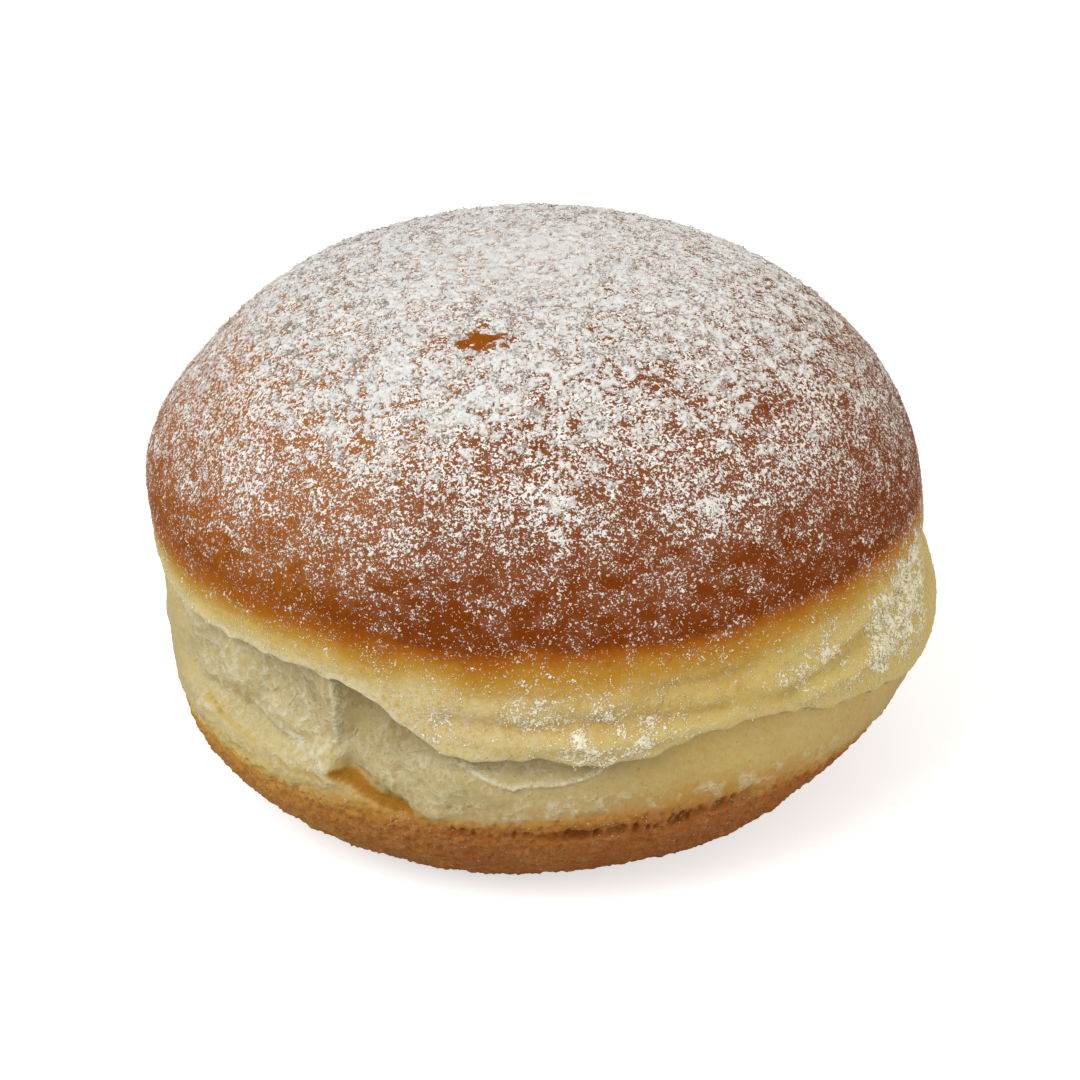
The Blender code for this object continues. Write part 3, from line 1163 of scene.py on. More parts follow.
@dataclass
class UpperSkin:
    """The domed crust with the pale band below it, down to the lip and its hidden underside."""

    form: DoughForm
    sugar: SugarCover
    columns: int = 470
    dome_rows: int = 190
    nose_rows: int = 7
    crowding: float = 0.35
    dome_crowding: float = 0.35
    border_height: float = 0.0331
    border_tilt: float = 0.0007
    border_dip: float = 0.0007
    border_dip_span: Span = Span(5.0, 30.0, 15.0)
    border_wander: float = 0.6 * MM
    border_wander_length: float = 6.0 * MM
    toast_steps: tuple[float, ...] = (-6.4, -3.8, -2.4, -1.2, 0.0, 1.0, 2.2, 3.8, 8.0, 14.0, 21.0, 28.0)
    toasts: tuple[float, ...] = (0.05, 0.10, 0.20, 0.36, 0.54, 0.74, 0.90, 0.98, 0.96, 0.92, 0.88, 0.82)
    far_toast: float = 0.14
    far_reach: float = 2.0 * MM
    left_span: Span = Span(-65.0, 45.0, 16.0)
    left_paler: float = 0.26
    left_sharper: float = 0.50
    # Partly painted light: more gold toward the front and right, partly browning and partly the warmer light
    # that falls there.
    front_span: Span = Span(5.0, 30.0, 20.0)
    front_toast_and_warm_light: float = 0.14
    fold_toast: float = 0.20
    fold_toast_range: Pair = (-0.4, 0.5)
    # Partly painted light: the pale band is whiter and less yellow on the left, partly its own paler dough
    # and partly the cooler light that falls there.
    white_span: Span = Span(-60.0, 55.0, 20.0, 0.59)
    white_least: float = 0.06
    white_start: float = 2.0 * MM
    white_reach: float = 2.5 * MM
    lip_reach: float = 0.7 * MM
    lip_paler: float = 0.1
    lip_white: float = 0.55
    bare_nose_rows: float = 3.0
    hidden_inset: float = 4.0 * MM
    hidden_rise: float = 3.0 * MM
    wrinkle_depth: float = 0.13 * MM
    wrinkle_length: float = 3.0 * MM
    wrinkle_squat: Triple = (1.0, 1.0, 2.4)
    band_height: float = 27.0 * MM
    band_reach: float = 5.0 * MM
    band_radius: float = 0.0445
    edge_spans: tuple[Span, ...] = (Span(-45.0, 24.0, 8.0, -0.35), Span(20.0, 30.0, 10.0, 0.25))
    band_folds: tuple[Line, ...] = (
        Line(((-14.0, 0.0258), (2.7, 0.0253), (12.0, 0.0250), (26.0, 0.0254)), 0.0010, 0.40),
        Line(((-16.0, 0.0270), (-2.7, 0.0271), (5.5, 0.0273), (16.0, 0.0275)), 0.0010, -0.22),
        Line(((-6.0, 0.0235), (6.1, 0.0235), (16.0, 0.0237), (30.0, 0.0243)), 0.0011, -0.28),
        Line(((34.0, 0.0262), (45.4, 0.0276), (52.0, 0.0292), (60.0, 0.0304)), 0.0010, -0.38),
        Line(((36.0, 0.0249), (48.0, 0.0264), (58.0, 0.0286), (66.0, 0.0296)), 0.0009, 0.50),
        Line(((40.0, 0.0240), (50.0, 0.0247), (58.0, 0.0262), (68.0, 0.0276), (80.0, 0.0284)), 0.0011, -0.42),
        Line(((46.0, 0.0229), (58.0, 0.0236), (70.0, 0.0248), (84.0, 0.0256)), 0.0009, 0.42),
        Line(((52.0, 0.0215), (62.0, 0.0222), (76.0, 0.0232)), 0.0009, -0.25),
        Line(((-52.0, 0.0290), (-40.0, 0.0284), (-30.0, 0.0276)), 0.0010, 0.18),
        Line(((110.0, 0.0280), (135.0, 0.0262), (160.0, 0.0268)), 0.0013, 0.40),
        Line(((-140.0, 0.0262), (-120.0, 0.0270), (-98.0, 0.0262)), 0.0013, 0.35),
    )

    def build(self, effects: Effects) -> Piece:
        """Makes the skin.

        Args:
            effects: The node groups.

        Returns:
            The finished piece.
        """
        form = self.form
        bearing = girth_bearings(self.columns, self.crowding)
        sheet = Sheet("upper_skin", bearing)
        edge = form.lip_edge(bearing)
        half = form.lip_thickness / 2.0 * raised(1.0, self.edge_spans, bearing)
        even = np.linspace(0.0, 1.0, self.dome_rows + 1)[:, None]
        share = even + self.dome_crowding * np.sin(math.pi * even) / math.pi
        height = form.height_at_turn(share * form.turn_at_height(edge + half))
        sheet.add_rows(form.skin_radius(bearing, height), height)
        angle = np.linspace(0.0, math.pi, self.nose_rows + 2)[1:, None]
        middle = form.skin_radius(bearing, edge) - half
        sheet.add_rows(middle + half * np.cos(angle), edge + half * (1.0 - np.sin(angle)))
        sheet.add_rows(middle - self.hidden_inset, edge + self.hidden_rise)
        sheet.add_rows(np.zeros(1), np.full(len(bearing), edge.max() + self.hidden_rise))
        points, values = self.shaped(sheet)
        return sheet.built(points, values, CRUST.made(effects))

    def shaped(self, sheet: Sheet) -> tuple[Array, dict[str, Array]]:
        """Gives the skin its sugar and wrinkles, and works out what the finish reads.

        Args:
            sheet: The piece's rows.

        Returns:
            The place of every point, and the named values.
        """
        form = self.form
        around, radius, level = sheet.grids()
        points = form.lumped(form.places(around, radius, level), np.zeros(len(around)))
        nose = np.arange(len(around)) // len(sheet.bearing) - self.dome_rows
        cover = self.sugar.at(around, points) * smooth_step(1.0 - nose / self.bare_nose_rows)
        band = np.exp(-(((level - self.band_height) / self.band_reach) ** 2))
        wrinkles = layered_cloud(points * np.array(self.wrinkle_squat), self.wrinkle_length, 5)
        folds = added(self.band_folds, around, level, self.band_radius)
        relief = self.sugar.depth(points, cover) + self.wrinkle_depth * band * wrinkles
        relief = (relief - folds * MM) * (nose < self.nose_rows)
        points = points + form.outward(points) * relief[:, None]
        border = self.border_height + self.border_tilt * np.sin(np.radians(around))
        border = border - self.border_dip * self.border_dip_span.share(around)
        border = border + self.border_wander * cloud(points, self.border_wander_length, 7)
        left = self.left_span.share(around)
        above = (level - border) / MM * (1.0 + self.left_sharper * left)
        far = (self.far_toast - self.left_paler * left) * smooth_step((level - border) / self.far_reach)
        # Partly painted light: more gold on the band's front and right, partly browning and partly the warmer
        # light there.
        front = self.front_toast_and_warm_light * self.front_span.share(around)
        front = band * (front + self.fold_toast * np.clip(folds, *self.fold_toast_range))
        lip = np.exp(-np.maximum(level - form.lip_edge(around), 0.0) / self.lip_reach)
        # Partly painted light: whiter band on the left, partly paler dough and partly the cooler light there.
        white = raised(self.white_least, (self.white_span,), around)
        white = white * smooth_step((border - self.white_start - level) / self.white_reach)
        toast = np.interp(above, self.toast_steps, self.toasts) + far + front
        toast = toast - self.lip_paler * lip
        return points, {"toast": toast, "sugar": cover, "web": self.lip_white * lip + white}


@dataclass
class SugarCrown:
    """The clumped sugar on the crown: a layer that dips into the skin wherever it has a gap."""

    form: DoughForm
    sugar: SugarCover
    segments: tuple[int, int] = (440, 218)
    overlap: float = 0.012
    rim_height: float = 0.0465
    rim_fade: float = 0.40
    clump_height: float = 0.155 * MM
    most: float = 0.44 * MM
    gap_depth: float = 0.12 * MM
    clump_layers: tuple[tuple[float, float, int], ...] = (
        (0.5, 1.2 * MM, 91),
        (0.7, 0.66 * MM, 92),
        (1.0, 0.38 * MM, 93),
    )
    clump_spread: float = 0.46
    clump_start: float = 1.7
    cover_share: float = 3.1
    cover_most: float = 0.93
    rim_thinning: float = 0.45
    rim_sink: float = 0.6 * MM
    rim_sink_reach: float = 0.03
    thin_below: float = 0.07 * MM
    strewn_share: float = 0.50
    strewn_above: float = 0.05 * MM

    def build(self, side: float, material: Material) -> Piece:
        """Makes one half of the layer.

        Args:
            side: -1 for the front half and 1 for the back.
            material: The piece's finish.

        Returns:
            The finished piece.
        """
        form = self.form
        sheet = bmesh.new()
        bmesh.ops.create_grid(sheet, x_segments=self.segments[0], y_segments=self.segments[1], size=1.0)
        flat = np.array([vertex.co[:2] for vertex in sheet.verts])
        flat[:, 1] = side + (flat[:, 1] - side) * (1.0 + self.overlap) / 2.0
        x = flat[:, 0] * np.sqrt(1.0 - flat[:, 1] ** 2 / 2.0)
        y = flat[:, 1] * np.sqrt(1.0 - flat[:, 0] ** 2 / 2.0)
        bearing, reach = np.degrees(np.arctan2(x, -y)), np.hypot(x, y)
        rim_turn = form.turn_at_height(np.array([self.rim_height]))
        points = form.base_places(bearing, form.height_at_turn(np.minimum(reach, 1.0) * rim_turn))
        cover = self.sugar.at(bearing, points)
        stand = self.standing(points, cover, reach)
        values = {
            "thin": smooth_step(1.0 - stand / self.thin_below),
            "sugar": self.strewn_share * smooth_step(stand / self.strewn_above),
        }
        depth = self.sugar.depth(points, cover) + stand
        shape(sheet, points + form.outward(points) * depth[:, None], values)
        rim = [edge for edge in sheet.edges if edge.is_boundary]
        bmesh.ops.holes_fill(sheet, edges=rim, sides=0)
        return new_piece("sugar_crown_front" if side < 0.0 else "sugar_crown_back", sheet, rim, material)

    def standing(self, points: Array, cover: Array, reach: Array) -> Array:
        """How far the clumps stand off the skin, below 0 where they have a gap.

        Args:
            points: One row of x, y and z for each place.
            cover: The share of the surface that sugar covers, at each place.
            reach: 0 in the middle of the layer and 1 at its rim, at each place.

        Returns:
            One depth for each place.
        """
        clumps = sum(share * cloud(points, length, seed) for share, length, seed in self.clump_layers)
        thick = np.minimum(cover, self.cover_most)
        thick = thick - self.rim_thinning * smooth_step(1.0 - (1.0 - reach) / self.rim_fade)
        stand = clumps / self.clump_spread - self.clump_start + self.cover_share * thick
        stand = self.clump_height * stand
        stand = np.where(stand > 0.0, self.most * np.tanh(stand / self.most), stand)
        stand = stand - self.rim_sink * smooth_step(1.0 - (1.0 - reach) / self.rim_sink_reach)
        return np.maximum(stand, -self.gap_depth)


@dataclass
class LowerDough:
    """The dough below the lip: torn crumb down to the rim, and the bottom crust below that.

    Both pieces share the ring of points at the rim, so the dough runs on from one to the other.
    """

    form: DoughForm
    columns: int = 1000
    wall_rows: int = 48
    rim_rows: int = 9
    crust_rows: int = 46
    crowding: float = 0.45
    middle: float = -12.0
    rim_reach: float = 1.3 * MM
    foot_reach: float = 3.0 * MM
    hidden_inset: float = 3.0 * MM
    flat_shares: tuple[float, ...] = (0.97, 0.90, 0.75, 0.5, 0.25, 0.0)
    torn_spans: tuple[Span, ...] = (
        Span(-42.0, 27.0, 5.0, 0.90), Span(-4.0, 13.0, 5.0, 0.40), Span(178.0, 40.0, 12.0, 0.45),
        Span(-105.0, 26.0, 14.0, 0.30), Span(112.0, 22.0, 12.0, 0.25),
    )
    slit_path: tuple[Pair, ...] = (
        (-16.0, 0.0117), (0.0, 0.0116), (14.4, 0.0119), (22.0, 0.0120), (26.5, 0.0126), (34.0, 0.0135),
    )
    slit_shares: tuple[Pair, ...] = (
        (-17.0, 0.0), (-14.0, 0.55), (-9.0, 0.40), (-5.5, 0.60), (0.0, 0.20), (3.0, 0.80), (8.0, 0.90),
        (12.0, 0.65), (16.0, 1.0), (20.0, 0.85), (23.0, 1.1), (26.0, 0.35), (28.0, 0.95), (33.0, 1.0),
        (36.0, 0.0),
    )
    slit_half_width: float = 0.74 * MM
    slit_depth: float = 0.72
    slit_most: float = 1.25
    slit_step: float = 0.75 * MM
    slit_lengths: Pair = (1.7 * MM, 0.45 * MM)
    slit_swings: Pair = (0.9, 0.7)
    slit_wander: float = 0.25 * MM
    slit_toast: float = 0.82
    slit_wet: float = 0.25
    webs: tuple[Line, ...] = (
        ring(-55.6, 0.0217, 0.00105, 0.00022, 0.28),
        ring(-60.8, 0.0216, 0.0017, 0.00028, 0.20),
        Line(((-64.0, 0.0235), (-58.0, 0.0243), (-54.0, 0.0238), (-52.5, 0.0222)), 0.0003, 0.22),
        Line(
            ((-48.2, 0.0196), (-43.2, 0.0190), (-38.5, 0.0181), (-34.3, 0.0172), (-29.5, 0.0160)),
            0.0004,
            0.35,
        ),
        Line(((-31.9, 0.0262), (-31.4, 0.0230), (-31.6, 0.0194)), 0.0004, 0.35),
        Line(((-31.6, 0.0194), (-33.5, 0.0184), (-34.3, 0.0172)), 0.0003, 0.20),
        Line(((-46.5, 0.0208), (-44.0, 0.0216), (-41.0, 0.0206), (-41.5, 0.0190)), 0.0003, 0.22),
        Line(((-39.0, 0.0196), (-37.0, 0.0212), (-38.5, 0.0226)), 0.0003, 0.20),
        Line(((-12.5, 0.0204), (-9.0, 0.0193), (-5.6, 0.0182), (-3.4, 0.0178)), 0.0003, 0.30),
        Line(((-3.4, 0.0178), (-1.1, 0.0181), (2.5, 0.0182), (6.8, 0.0190), (9.5, 0.0200)), 0.0003, 0.30),
        Line(((150.0, 0.0190), (168.0, 0.0182), (186.0, 0.0188)), 0.0005, 0.25),
        Line(((-122.0, 0.0196), (-108.0, 0.0184), (-94.0, 0.0190), (-84.0, 0.0182)), 0.0005, 0.16),
        Line(((96.0, 0.0168), (110.0, 0.0160), (126.0, 0.0168)), 0.0005, 0.14),
        ring(172.0, 0.0210, 0.0016, 0.0003, 0.22),
    )
    pits: tuple[Triple, ...] = (
        (-35.2, 0.0225, 0.20), (-33.4, 0.0236, 0.18), (-32.4, 0.0240, 0.18), (-34.6, 0.0217, 0.24),
        (-31.9, 0.0196, 0.34), (-39.4, 0.0215, 0.28), (-44.3, 0.0184, 0.30), (-41.9, 0.0179, 0.28),
        (-61.2, 0.0185, 0.22), (-2.3, 0.0195, 0.50), (-1.2, 0.0201, 0.34), (-12.6, 0.0148, 0.32),
        (-14.0, 0.0158, 0.24), (-9.6, 0.0150, 0.22), (8.6, 0.0163, 0.24),
    )
    wet_lines: tuple[Line, ...] = (
        Line(((-60.8, 0.0171), (-57.8, 0.0165), (-54.0, 0.0162), (-50.5, 0.0161)), 0.00022, 0.52),
        Line(((-49.5, 0.0160), (-46.6, 0.0159)), 0.0002, 0.25),
        Line(((-31.0, 0.0161), (-26.1, 0.0145), (-22.0, 0.0135), (-18.5, 0.0131)), 0.00045, 1.0),
        Line(((-30.0, 0.0161), (-27.0, 0.0152), (-24.0, 0.0145), (-21.0, 0.0138)), 0.00085, 0.60),
        Line(((-42.0, 0.0154), (-37.0, 0.0150), (-33.0, 0.0152)), 0.00025, 0.30),
    )

    bend: float = 1.1 * MM
    bend_length: float = 3.2 * MM
    wall_length: float = 2.6 * MM
    wall_depth: float = 0.42 * MM
    wall_middle: float = 0.30
    ridge: float = 0.16
    fibre_length: float = 0.42 * MM
    fibre_stretch: Triple = (1.0, 1.0, 0.22)
    fibre_depth: float = 0.055 * MM
    rough_length: float = 1.5 * MM
    rough_depth: float = 0.16 * MM
    crag_length: float = 0.6 * MM
    crag_depth: float = 0.22 * MM
    patch_length: float = 1.3 * MM
    patch_depth: float = 0.05 * MM
    patch_span: Span = Span(24.0, 30.0, 8.0)
    patch_heights: Pair = (0.9 * MM, 4.2 * MM)
    front_span: Span = Span(4.0, 34.0, 12.0)
    ledge_span: Span = Span(-64.0, 16.0, 6.0, 0.8)
    pale_span: Span = Span(-62.0, 30.0, 14.0)
    pale_crust: float = 0.15
    # Partly painted light: more gold on the right, partly browning and partly the warmer light that falls
    # there.
    right_span: Span = Span(60.0, 50.0, 12.0)
    right_toast_and_warm_light: float = 0.09
    toast_front: tuple[Pair, ...] = (
        (-3.0, 0.64), (-0.6, 0.62), (0.4, 0.56), (1.5, 0.42), (3.4, 0.17), (5.0, 0.06)
    )
    toast_back: tuple[Pair, ...] = (
        (-3.0, 0.64), (-1.0, 0.58), (0.0, 0.36), (1.0, 0.13), (2.0, 0.06), (4.0, 0.03)
    )
    wet_toast: float = 0.52
    # Painted shade: the crumb darkens from this inset depth on, just under the lip, in the middle below the
    # lip and in the nook.
    recess_shade_from: float = 1.1 * MM
    recess_shade_reach: float = 2.2 * MM
    lip_shade_reach: float = 1.6 * MM
    middle_span: Span = Span(-6.0, 22.0, 8.0)
    nook_span: Span = Span(-24.0, 8.0, 3.0)
    nook_start: float = 18.6 * MM
    nook_reach: float = 2.5 * MM

    def slits(self, bearing: Array, height: Array) -> Array:
        """How deep the ragged slits go along the rim.

        Args:
            bearing: One bearing for each place.
            height: One height for each place.

        Returns:
            One depth for each place.
        """
        spot = np.zeros((bearing.size, 3))
        spot[:, 0] = bearing.reshape(-1) * self.slit_step
        ragged = cloud(spot, self.slit_lengths[0], 71).reshape(bearing.shape)
        jagged = cloud(spot, self.slit_lengths[1], 72).reshape(bearing.shape)
        swing = 1.0 + self.slit_swings[0] * ragged + self.slit_swings[1] * jagged
        strength = np.clip(np.interp(bearing, *zip(*self.slit_shares)) * swing, 0.0, self.slit_most)
        path = np.interp(bearing, *zip(*self.slit_path))
        half_width = self.slit_half_width * (0.55 + 0.45 * strength)
        away = (height - path - self.slit_wander * jagged) / half_width
        depth = self.slit_depth * raised(0.0, self.form.crevice_spans, bearing)
        return depth * strength * np.exp(-(away**4))

    def radius(self, bearing: Array, height: Array) -> Array:
        """The dough's radius before its finest relief.

        Args:
            bearing: One bearing for each place.
            height: One height for each place.

        Returns:
            One radius for each place.
        """
        form = self.form
        lip = form.lip_edge(bearing)
        inset = form.crumb_inset(bearing, height) + form.folded(bearing, height, form.crumb_folds)
        behind = form.lip_thickness + 0.3 * MM
        under_lip = smooth_step(1.0 - (lip + 0.2 * MM - height) / (0.7 * MM))
        inset = inset + np.maximum(behind - inset, 0.0) * under_lip
        rim = form.rim_edge(bearing)
        inset = np.where(height < rim - self.foot_reach, 0.0, inset)
        above = smooth_step((height - rim + self.foot_reach) / self.foot_reach)
        return form.outer_radius(bearing, height) - inset * above - self.slits(bearing, height)

    def holed(self, around: Array, level: Array) -> Array:
        """How deep the crumb's pits go.

        Args:
            around: One bearing for each place.
            level: One height for each place.

        Returns:
            One depth for each place, in millimetres.
        """
        holes = np.zeros(len(around))
        for bearing, height, depth in self.pits:
            away = (np.radians(bearing_away(around, bearing)) * WAIST_RADIUS) ** 2 + (level - height) ** 2
            holes += depth * np.exp(-away / (0.7 * depth * MM + 0.10 * MM) ** 2)
        return holes

    def shaped(self, sheet: Sheet, first: int, last: int) -> tuple[Array, dict[str, Array]]:
        """Gives the visible rows their finest relief and works out what the finish reads.

        Args:
            sheet: The piece's rows.
            first: The first visible row.
            last: The row after the last visible one.

        Returns:
            The place of every point, and the named values.
        """
        form = self.form
        around, radius, level = sheet.grids()
        row = np.arange(len(around)) // len(sheet.bearing)
        shown = ((row >= first) & (row < last)).astype(float)
        rim = form.rim_edge(around)
        crumb = smooth_step((level - rim - 0.4 * MM) / (1.6 * MM))
        torn = np.clip(raised(0.12, self.torn_spans, around), 0.0, 1.0) * crumb
        points = form.lumped(form.places(around, radius, level), torn * shown)
        crust = smooth_step(level / (1.2 * MM)) * (1.0 - crumb)
        bend = np.stack([cloud(points, self.bend_length, seed) for seed in (81, 82, 83)], axis=1)
        walls = np.abs(layered_cloud(points + self.bend * bend, self.wall_length, 21, 2))
        fibres = cloud(points * np.array(self.fibre_stretch), self.fibre_length, 31)
        rough = layered_cloud(points, self.rough_length, 51)
        crags = layered_cloud(points, self.crag_length, 55, 2)
        webs, wet = added(self.webs, around, level), added(self.wet_lines, around, level)
        holes = self.holed(around, level)
        patches = smooth_step((layered_cloud(points, self.patch_length, 61) - 0.05) / 0.5)
        patches = patches * self.patch_span.share(around)
        patches = patches * smooth_step((level - rim - self.patch_heights[0]) / MM)
        patches = patches * smooth_step((rim + self.patch_heights[1] - level) / MM)
        relief = self.wall_depth * torn * (self.wall_middle - walls)
        relief += self.fibre_depth * (0.25 * crumb + torn) * fibres
        relief += MM * (webs - holes - 0.55 * np.clip(wet, 0.0, 1.5)) * crumb
        relief += (self.rough_depth * rough + self.crag_depth * crags) * (crust + 0.18 * crumb)
        relief += self.patch_depth * patches
        points = points + form.outward(points) * (relief * shown)[:, None]
        slit = np.clip(self.slits(around, level) / MM / 0.45, 0.0, 1.0)
        rise = (level - rim) / MM - 0.3 * bend[:, 0] + added((self.ledge_span,), around)
        front, back = (np.interp(rise, *zip(*steps)) for steps in (self.toast_front, self.toast_back))
        toast = back + (front - back) * self.front_span.share(around)
        toast = toast - self.pale_crust * self.pale_span.share(around) * (1.0 - crumb)
        toast = toast + (self.wet_toast - toast) * smooth_step((wet - 0.30) / 0.40)
        # Partly painted light: more gold on the right, partly browning and partly warmer light.
        toast = toast + self.right_toast_and_warm_light * self.right_span.share(around)
        toast = toast + (self.slit_toast - toast) * slit
        # Painted shade: darker where the crumb is set deep, just under the lip, in the middle below the lip,
        # in the nook and in the pits.
        depth = form.crumb_inset(around, level) + form.folded(around, level, form.crumb_folds)
        recess_shade = 0.9 * np.clip((depth - self.recess_shade_from) / self.recess_shade_reach, 0.0, 1.0)
        under = smooth_step(1.0 - (form.lip_edge(around) - level) / self.lip_shade_reach)
        nook = self.nook_span.share(around) * smooth_step((level - self.nook_start) / self.nook_reach)
        recess_shade += 0.15 * under + 0.75 * self.middle_span.share(around) * crumb + 0.60 * nook + 1.2 * holes
        ridges = smooth_step((self.ridge - walls) / self.ridge) * torn
        # Less pale web in the nook, as part of its painted shade.
        web = (0.35 * torn + 0.5 * ridges) * (1.0 - 0.8 * nook)
        web = web + 2.8 * webs - 3.0 * wet - 2.0 * slit + 0.40 * patches
        soaked = self.slit_wet * slit + 0.95 * smooth_step((wet - 0.40) / 0.50)
        return points, {
            "toast": toast,
            "sugar": 0.05 + 0.21 * (1.0 - crumb) * np.clip(0.5 + rough, 0.0, 1.0) * crust,
            "recess_shade": np.clip(recess_shade * (1.0 - wet) * (1.0 - slit), 0.0, 1.0) * crumb,
            "web": np.clip(web, 0.0, 1.0) * crumb + 0.04 * crust,
            "wet": np.clip(soaked, 0.0, 0.95),
        }

    def build_crumb(self, effects: Effects) -> Piece:
        """Makes the crumb from under the lip down to the rim.

        Args:
            effects: The node groups.

        Returns:
            The finished piece.
        """
        form = self.form
        bearing = girth_bearings(self.columns, self.crowding, self.middle)
        sheet = Sheet("torn_crumb", bearing)
        lip, rim = form.lip_edge(bearing), form.rim_edge(bearing)
        sheet.add_rows(np.zeros(1), np.full(len(bearing), lip.max() + 2.0 * MM))
        top = lip + 1.8 * MM
        sheet.add_rows(form.outer_radius(bearing, top) - self.hidden_inset - 1.0 * MM, top)
        first = len(sheet.rows)
        share = np.linspace(0.0, 1.0, self.wall_rows, endpoint=False)[:, None]
        wall = lip + 0.6 * MM + (rim + self.rim_reach - lip - 0.6 * MM) * share
        near_rim = rim + self.rim_reach * np.linspace(1.0, 0.0, self.rim_rows + 1)[:, None]
        height = np.concatenate((wall, near_rim))
        sheet.add_rows(self.radius(np.broadcast_to(bearing, height.shape), height), height)
        last = len(sheet.rows)
        sheet.hard_rows.append(last - 1)
        under = rim - 1.5 * MM
        sheet.add_rows(form.outer_radius(bearing, under) - self.hidden_inset, under)
        sheet.add_rows(np.zeros(1), np.full(len(bearing), under.min()))
        return sheet.built(*self.shaped(sheet, first, last), CRUMB.made(effects))

    def build_crust(self, effects: Effects) -> Piece:
        """Makes the bottom crust from the rim round to the flat that the doughnut rests on.

        Args:
            effects: The node groups.

        Returns:
            The finished piece.
        """
        form = self.form
        bearing = girth_bearings(self.columns, self.crowding, self.middle)
        sheet = Sheet("bottom_crust", bearing)
        rim = form.rim_edge(bearing)
        sheet.add_rows(np.zeros(1), np.full(len(bearing), rim.min() - 1.0 * MM))
        inner = rim - 0.5 * MM
        sheet.add_rows(form.outer_radius(bearing, inner) - self.hidden_inset, inner)
        first = len(sheet.rows)
        sheet.hard_rows.append(first)
        near_rim = rim - self.rim_reach * np.linspace(0.0, 1.0, self.rim_rows, endpoint=False)[:, None]
        start, end = form.turn_at_height(rim - self.rim_reach), form.turn_at_height(np.zeros(1))
        share = np.linspace(0.0, 1.0, self.crust_rows + 1)[:, None]
        lower = np.maximum(form.height_at_turn(start + (end - start) * share), 0.0)
        height = np.concatenate((near_rim, lower))
        radius = self.radius(np.broadcast_to(bearing, height.shape), height)
        sheet.add_rows(radius, height)
        last = len(sheet.rows)
        flat = np.array(self.flat_shares)[:, None]
        sheet.add_rows(flat * radius[-1], np.zeros_like(flat))
        return sheet.built(*self.shaped(sheet, first, last), UNDERCRUST.made(effects))


@dataclass(frozen=True)
class StrandGroup:
    """Fine strands that start in one stretch of the dough and run the same way.

    Their half width and the height of their arch are in millimetres.
    """

    bearings: Pair
    heights: Pair
    run: Pair
    spread: Pair
    count: int
    half_width: float
    arch: float


